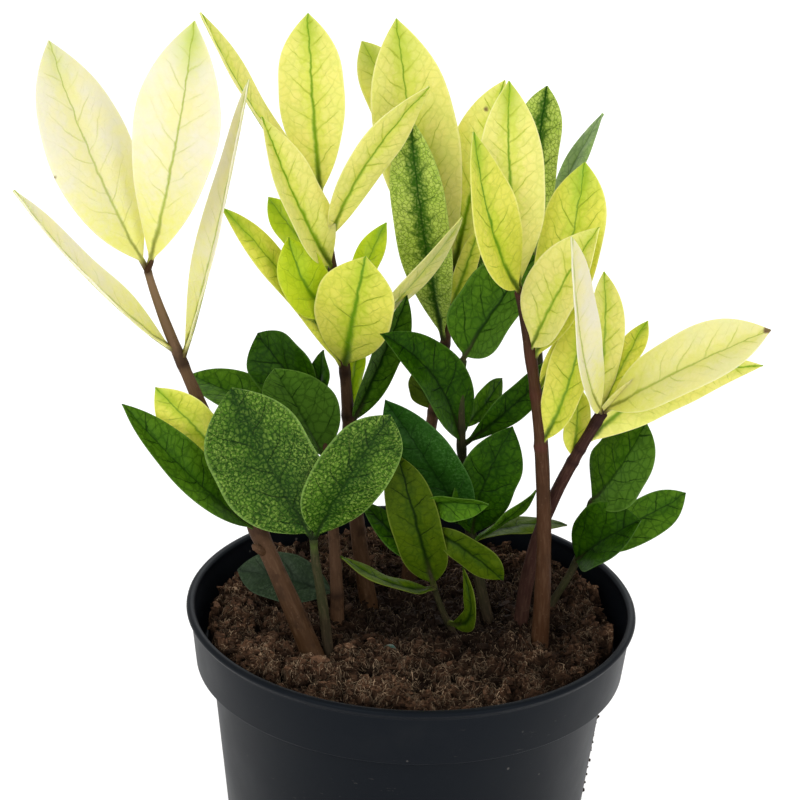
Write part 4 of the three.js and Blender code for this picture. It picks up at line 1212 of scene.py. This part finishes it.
def leaf_group():
    """Leaf skin: midrib, forked side veins, a net between them, flecks, patches, rim, tip and stalk."""
    values = {**dict.fromkeys(SHARES, 0.5), "Vein Spacing": 6.5}
    w, given = new_group("leaf_skin", ("Blade", *PAINTS), values)
    across, along, _ = w.split(w.uv("leaf_place"))
    size = w.uv("leaf_mm")
    tip, rib, seed = w.split(w.attribute("leaf_look", "Vector"))
    under = w.attribute("leaf_under")

    # Each leaf has its own part of every pattern, and bent is where it is once the veins have wandered
    shift = w.node("CombineXYZ", {"X": w.times(seed, 91.0), "Y": w.times(seed, 57.0)})
    own = w.vector("ADD", size, shift)
    drift = w.vector("SUBTRACT", w.noise(own, 0.22, 5, 0.6, output=1), (0.5, 0.5, 0.5))
    bent = w.vector("ADD", size, w.scale(drift, 1.7))
    bent_x, bent_y, _ = w.split(bent)
    bent_y = w.plus(bent_y, w.line(w.noise(own, 0.06, 1), 9.0, -4.5))
    x, _, _ = w.split(size)
    edge = w.math("ABSOLUTE", w.line(across, 2.0, -1.0))
    out = w.math("ABSOLUTE", bent_x)
    right = w.math("GREATER_THAN", x, 0.0)

    def vein_gap(rise, curve, offset):
        """Distance to lines that leave the midrib, alternate on both sides and bend towards the tip."""
        climb = w.plus(w.times(out, rise), w.times(w.math("POWER", out, 2.0), curve))
        turn = w.math("DIVIDE", w.math("SUBTRACT", bent_y, climb), given["Vein Spacing"])
        turn = w.plus(turn, w.line(right, VEIN_SHIFT, w.line(seed, 5.0, offset)))
        away = w.math("ABSOLUTE", w.math("SUBTRACT", w.math("FRACT", turn), 0.5))
        return w.times(away, given["Vein Spacing"])

    def vein(gap, thick, thin):
        return w.fade(w.math("DIVIDE", gap, w.ramp(edge, 0.0, 1.0, thick, thin)), 0.3, 1.2)

    main_gap = vein_gap(VEIN_RISE, VEIN_CURVE, 0.0)
    halo = w.times(w.fade(main_gap, 0.2, 1.7), w.fade(edge, 0.0, 0.8))
    fork = w.times(vein(vein_gap(0.2, 0.09, 0.3), 0.2, 0.10), w.ramp(edge, 0.25, 0.5, 0.0, 0.7))
    veins = w.times(
        w.most(vein(main_gap, 0.34, 0.14), fork),
        w.ramp(w.noise(own, 0.13, 2), 0.35, 0.6, 0.3, 1.0),
        w.fade(edge, given["Vein Reach"], 1.0),
    )
    cell = w.cells(w.vector("ADD", bent, shift), w.math("DIVIDE", 1.0, given["Net Size"]))
    net = w.fade(cell, 0.02, 0.12)
    cell = w.times(w.ramp(cell, 0.08, 0.36), w.ramp(w.noise(own, 0.2, 2), 0.35, 0.6, 0.3, 1.0))
    wide = w.times(w.ramp(along, 0.0, 1.0, 0.55, 0.15), w.line(rib, 1.3, 0.4))
    midrib = w.fade(w.math("DIVIDE", out, wide), 0.1, 1.5)
    midrib = w.times(midrib, w.math("MINIMUM", w.line(rib, 1.0, 0.2), 1.0))
    ragged = w.line(w.noise(own, 0.42, 4, 0.65), 1.0, -0.5)
    middle = w.most(w.fade(w.plus(edge, ragged), 0.08, 0.5), halo)
    base = w.fade(w.plus(along, w.times(ragged, 0.5)), 0.05, 0.6)
    glow = w.most(w.times(middle, given["Middle"]), w.times(base, given["Base"]))
    patch = w.ramp(w.noise(own, 0.11, 3, 0.55), 0.38, 0.66)
    fleck = w.times(
        w.ramp(w.noise(own, 1.35, 3, 0.65), 0.47, 0.61),
        w.ramp(w.noise(own, 0.14, 2), 0.3, 0.65, 0.35, 1.0),
        w.ramp(edge, 0.0, 0.9, 0.6, 1.0),
        w.line(glow, -0.8, 1.0),
    )
    rim = w.ramp(edge, 0.93, 0.985)
    end = w.times(w.ramp(w.line(edge, -0.12, along), 0.7, 0.99), tip)
    stalk = w.most(w.fade(along, 0.03, 0.085), w.times(midrib, w.ramp(along, 0.06, 0.3, 0.7, 0.0)))
    # Painted sheen: one half of the leaf, picked by its pale value, takes the paler colour of the underside
    half = w.most(w.times(w.attribute("leaf_pale"), w.math("SIGN", x)), 0.0)
    half = w.times(half, w.ramp(edge, 0.0, 0.1))
    spot_x, spot_y, spot_size = w.split(w.attribute("leaf_spot", "Vector"))
    spot_place = w.node("CombineXYZ", {"X": spot_x, "Y": spot_y})
    reach = w.vector("LENGTH", w.vector("SUBTRACT", bent, spot_place), output=1)
    spot = w.ramp(w.math("SUBTRACT", reach, spot_size), -0.6, 0.2, 0.9, 0.0)

    body = given["Blade"]
    for mask, paint in (
        (w.times(patch, given["Patches"]), "Patch"),
        (glow, "Glow"),
        (w.times(cell, given["Cells"]), "Fleck"),
        (w.times(fleck, given["Flecks"]), "Fleck"),
        (end, "Tip"),
        # The underside's own colour, and a painted sheen on the picked half
        (w.times(w.most(under, half), given["Under And Sheen Amount"]), "Under And Sheen"),
        (w.times(net, given["Net"]), "Vein"),
        (w.times(veins, given["Veins"]), "Vein"),
        (w.times(rim, given["Rim Amount"]), "Rim"),
        (midrib, "Midrib"),
        (stalk, "Stalk"),
    ):
        body = w.mix(mask, body, given[paint])
    rough = w.plus(w.ramp(fleck, 0, 1, 0.36, 0.44), w.times(under, 0.15))
    grooves = w.plus(w.times(veins, -0.10), w.times(net, -0.03), w.times(midrib, -0.06))
    skin = w.times(w.noise(own, 2.2, 3, 0.6), 0.03)
    return w.give(w.mix(spot, body, SPOT_BROWN), rough, w.plus(grooves, skin))


def leaf_materials(look):
    """One material for each tone."""
    group = leaf_group()
    made = {}
    for tone, (*paints, shares) in TONES.items():
        values = {**dict(zip(PAINTS, paints)), **dict(zip(SHARES, shares))}
        values["Blade"] = getattr(look, tone)
        values["Vein Spacing"] = look.vein_spacing / MM
        shine = 0.2 if tone in PALE_TONES else 0.08 if tone in DUSTY_TONES else 0.04
        soft = SOFT if tone in PALE_TONES else {}
        made[tone] = new_material("leaf_" + tone, group, values, Specular_IOR_Level=shine, **soft)
    return made


def leaf_blank(look):
    """A flat square leaf with an upper and an under face, a grid across and along."""
    grid = bpy.ops.mesh.primitive_grid_add
    blank = make("leaf_blank", grid, x_subdivisions=look.columns, y_subdivisions=look.rows, size=2)
    apply(blank, "SOLIDIFY", thickness=2, offset=0)
    return blank


def unit(vectors):
    return vectors / np.linalg.norm(vectors, axis=-1, keepdims=True)


def half_width(t, leaf):
    """Half the width of a blade along its length, from its stalk to its pointed tip."""
    u = np.clip((t - STALK_SHARE) / (1 - STALK_SHARE), 0, 1)
    away = np.where(u < leaf.belly, (leaf.belly - u) / leaf.belly, (u - leaf.belly) / (1 - leaf.belly))
    least = STALK_HALF_WIDTH + (TIP_HALF_WIDTH - STALK_HALF_WIDTH) * t
    return np.maximum(leaf.width / 2 * (1 - away**leaf.swell), least)


def leaf_axes(leaf):
    """Where a leaf points and where its upper face looks."""
    turn, slope, spin = (math.radians(v) for v in (leaf.heading, leaf.rise, leaf.roll))
    ahead = Vector((math.cos(turn) * math.cos(slope), math.sin(turn) * math.cos(slope), math.sin(slope)))
    up = Vector((-math.cos(turn) * math.sin(slope), -math.sin(turn) * math.sin(slope), math.cos(slope)))
    return np.array(ahead), np.array(Matrix.Rotation(spin, 3, ahead) @ up)


def lay_leaf(blank, root, leaf, look, seed):
    """A copy of the blank, bent into one leaf: folded, bowed, grooved and waved."""
    ahead, up = leaf_axes(leaf)
    bow = up * leaf.arch + np.cross(ahead, up) * leaf.sway

    piece = add_object("leaf", blank.data.copy())
    mesh = piece.data
    points = points_of(mesh)
    side, face = points[:, 0], points[:, 2]
    even = (points[:, 1] + 1) / 2
    t = 0.5 * even + 0.25 * (1 - np.cos(np.pi * even))
    middle = ahead * leaf.length * t[:, None] + bow * (4 * t * (1 - t))[:, None]
    tangent = unit(ahead * leaf.length + bow * (4 * (1 - 2 * t))[:, None])
    across = unit(np.cross(tangent, up))
    normal = np.cross(across, tangent)

    half = half_width(t, leaf)
    half = half * (1 + 0.012 * np.sin(19 * t + 40 * seed) * np.sin(np.pi * t))
    lift = math.radians(leaf.fold)
    x = half * side
    along = t * leaf.length
    soft = (np.sqrt(side**2 + 0.03) - 0.03**0.5) / (1.03**0.5 - 0.03**0.5)
    height = half * soft * math.sin(lift)
    blade = np.clip((t - STALK_SHARE) / 0.08, 0, 1)
    groove = -GROOVE * np.exp(-((x / 0.7) ** 2)) * (1 - 0.8 * t)
    spacing = look.vein_spacing / MM
    rows = (along - VEIN_RISE * abs(x) - VEIN_CURVE * x**2) / spacing + VEIN_SHIFT * (side > 0) + 5 * seed
    quilt = QUILT * np.cos(2 * np.pi * rows) * np.clip(abs(side) * 4, 0, 1) * (1 - side**4)
    wave = look.wave / MM * side**2 * np.sin(9.5 * t + 6.3 * seed + 1.2 * np.sign(side)) * np.sin(np.pi * t)
    droop = -0.05 * half * side**4
    height = height + (groove + quilt + wave + droop) * blade

    thick = look.thickness / MM * (1 - 0.55 * side**2)
    thick = thick * blade + 1.3 * np.sqrt(np.clip(1 - side**2, 0.05, 1)) * (1 - blade)
    ridge = RIDGE * np.exp(-((x / 0.6) ** 2)) * (1 - 0.75 * t) * blade
    height = height + face * thick / 2 - (face < 0) * ridge
    place = middle + across * (x * math.cos(lift))[:, None] + normal * height[:, None]
    move_points(mesh, root + place * MM)

    while mesh.uv_layers:
        mesh.uv_layers.remove(mesh.uv_layers[0])
    lay_uv(mesh, "leaf_place", np.stack([(side + 1) / 2, t], 1))
    lay_uv(mesh, "leaf_mm", np.stack([x, along], 1))
    spot_side, spot_t, spot_size = leaf.spot
    spot_x = spot_side * half_width(np.array([spot_t]), leaf)[0]
    mark(mesh, "leaf_look", np.tile((leaf.tip, leaf.rib, seed), (len(t), 1)))
    mark(mesh, "leaf_under", (face < 0).astype(float))
    # Which half of the leaf carries the painted sheen
    mark(mesh, "leaf_pale", np.full(len(t), float(leaf.pale)))
    mark(mesh, "leaf_spot", np.tile((spot_x, spot_t * leaf.length, spot_size), (len(t), 1)))
    return piece


class PLANT_OT_leaves(bpy.types.Operator):
    """Grow the leaves of every stem"""

    bl_idname = "plant.leaves"
    bl_label = "Leaves"

    def execute(self, context):
        look = context.scene.plant_leaf
        rng = random.Random(SEED + 2)
        skins = leaf_materials(look)
        blank = leaf_blank(look)
        for frond in FRONDS:
            centres = curve_of(frond.through)
            leaves = []
            for leaf in frond.leaves:
                piece = lay_leaf(blank, centres([leaf.at])[0], leaf, look, rng.random())
                piece.data.materials.append(skins[leaf.tone])
                leaves.append(piece)
            piece = join("leaves_" + frond.name, leaves)
            smooth(piece, 50)
            stand_for(piece, "stem_" + frond.name, leaf_slot(frond))
        drop(blank)
        return {"FINISHED"}


# Stage

WORLD_STRENGTH = 0.73
LAMP_SIZE = 1.0
LAMP_AIM = Vector((0, 0, 0.15))
# Place and power of each lamp
LAMPS = {
    "key_lamp": ((-0.8, -1.3, 1.0), 9.5),
    "fill_lamp": ((1.1, -1.3, 0.9), 7.5),
    "back_lamp": ((0.2, 1.2, 1.1), 8),
}
CAMERA_PLACE = (-0.005, -0.7111, 0.4754)
CAMERA_TILT = 23.67
CAMERA_ROLL = 2.1
SENSOR_WIDTH = 36


def floor_material(stage):
    w, given = new_group("studio_card", ("Card",))
    tooth = w.noise(w.object_place(), 160, 3, 0.6)
    colour = w.mix(w.ramp(tooth, 0.3, 0.7, 0, 0.02), given["Card"], (1, 1, 1, 1))
    group = w.give(colour, w.ramp(tooth, 0.3, 0.7, 0.85, 0.95), w.times(tooth, 0.02))
    return new_material("pale_card", group, {"Card": stage.floor}, Emission_Strength=0.14)


class PLANT_OT_stage(bpy.types.Operator):
    """Lay the floor, and set the lights and the camera"""

    bl_idname = "plant.stage"
    bl_label = "Floor, lights and camera"

    def execute(self, context):
        stage = context.scene.plant_stage
        grid = bpy.ops.mesh.primitive_grid_add
        floor = make("studio_floor", grid, x_subdivisions=8, y_subdivisions=8, size=stage.floor_size)
        floor.data.materials.append(floor_material(stage))

        world = bpy.data.worlds.new("studio")
        world.use_nodes = True
        light = world.node_tree.nodes["Background"].inputs
        light["Color"].default_value = (1, 1, 1, 1)
        light["Strength"].default_value = WORLD_STRENGTH
        context.scene.world = world
        for name, (place, power) in LAMPS.items():
            lamp = make(name, bpy.ops.object.light_add, type="AREA", location=place)
            lamp.data.size = LAMP_SIZE
            lamp.data.energy = power
            lamp.rotation_euler = (LAMP_AIM - Vector(place)).to_track_quat("-Z", "Y").to_euler()

        camera = make("studio_camera", bpy.ops.object.camera_add)
        tilt, roll = math.radians(CAMERA_TILT), math.radians(CAMERA_ROLL)
        ahead = Vector((0, math.cos(tilt), -math.sin(tilt)))
        up = Vector((0, math.sin(tilt), math.cos(tilt)))
        right = Vector((1, 0, 0))
        axis_x = math.cos(roll) * right + math.sin(roll) * up
        axis_y = -math.sin(roll) * right + math.cos(roll) * up
        pose = Matrix((axis_x, axis_y, -ahead)).transposed().to_4x4()
        pose.translation = Vector(CAMERA_PLACE)
        camera.matrix_world = pose
        camera.data.lens = stage.focal
        camera.data.sensor_width = SENSOR_WIDTH
        context.scene.camera = camera
        context.scene.view_settings.view_transform = "Standard"
        return {"FINISHED"}


# Panel and order of the steps

LOOKS = {
    "plant_pot": PotLook,
    "plant_soil": SoilLook,
    "plant_stem": StemLook,
    "plant_leaf": LeafLook,
    "plant_stage": StageLook,
}
STEPS = (
    PLANT_OT_stage,
    PLANT_OT_pot,
    PLANT_OT_soil,
    PLANT_OT_crumbs,
    PLANT_OT_fibres,
    PLANT_OT_pellet,
    PLANT_OT_stems,
    PLANT_OT_leaves,
)


class VIEW3D_PT_plant(bpy.types.Panel):
    """Steps and sizes of the potted plant"""

    bl_label = "Potted plant"
    bl_idname = "VIEW3D_PT_plant"
    bl_space_type = "VIEW_3D"
    bl_region_type = "UI"
    bl_category = "Plant"

    def draw(self, context):
        for step in STEPS:
            self.layout.operator(step.bl_idname)
        for key, look in LOOKS.items():
            settings = getattr(context.scene, key)
            box = self.layout.box()
            box.label(text=look.__doc__)
            for field in look.__annotations__:
                box.prop(settings, field)


CLASSES = (*LOOKS.values(), *STEPS, VIEW3D_PT_plant)


def register():
    for made in CLASSES:
        bpy.utils.register_class(made)
    for key, look in LOOKS.items():
        setattr(bpy.types.Scene, key, bpy.props.PointerProperty(type=look))


def unregister():
    for key in LOOKS:
        delattr(bpy.types.Scene, key)
    for made in reversed(CLASSES):
        bpy.utils.unregister_class(made)


def main():
    register()
    bpy.ops.plant.stage()
    bpy.ops.plant.pot()
    bpy.ops.plant.soil()
    bpy.ops.plant.crumbs()
    bpy.ops.plant.fibres()
    bpy.ops.plant.pellet()
    bpy.ops.plant.stems()
    bpy.ops.plant.leaves()


if __name__ == "__main__":
    main()
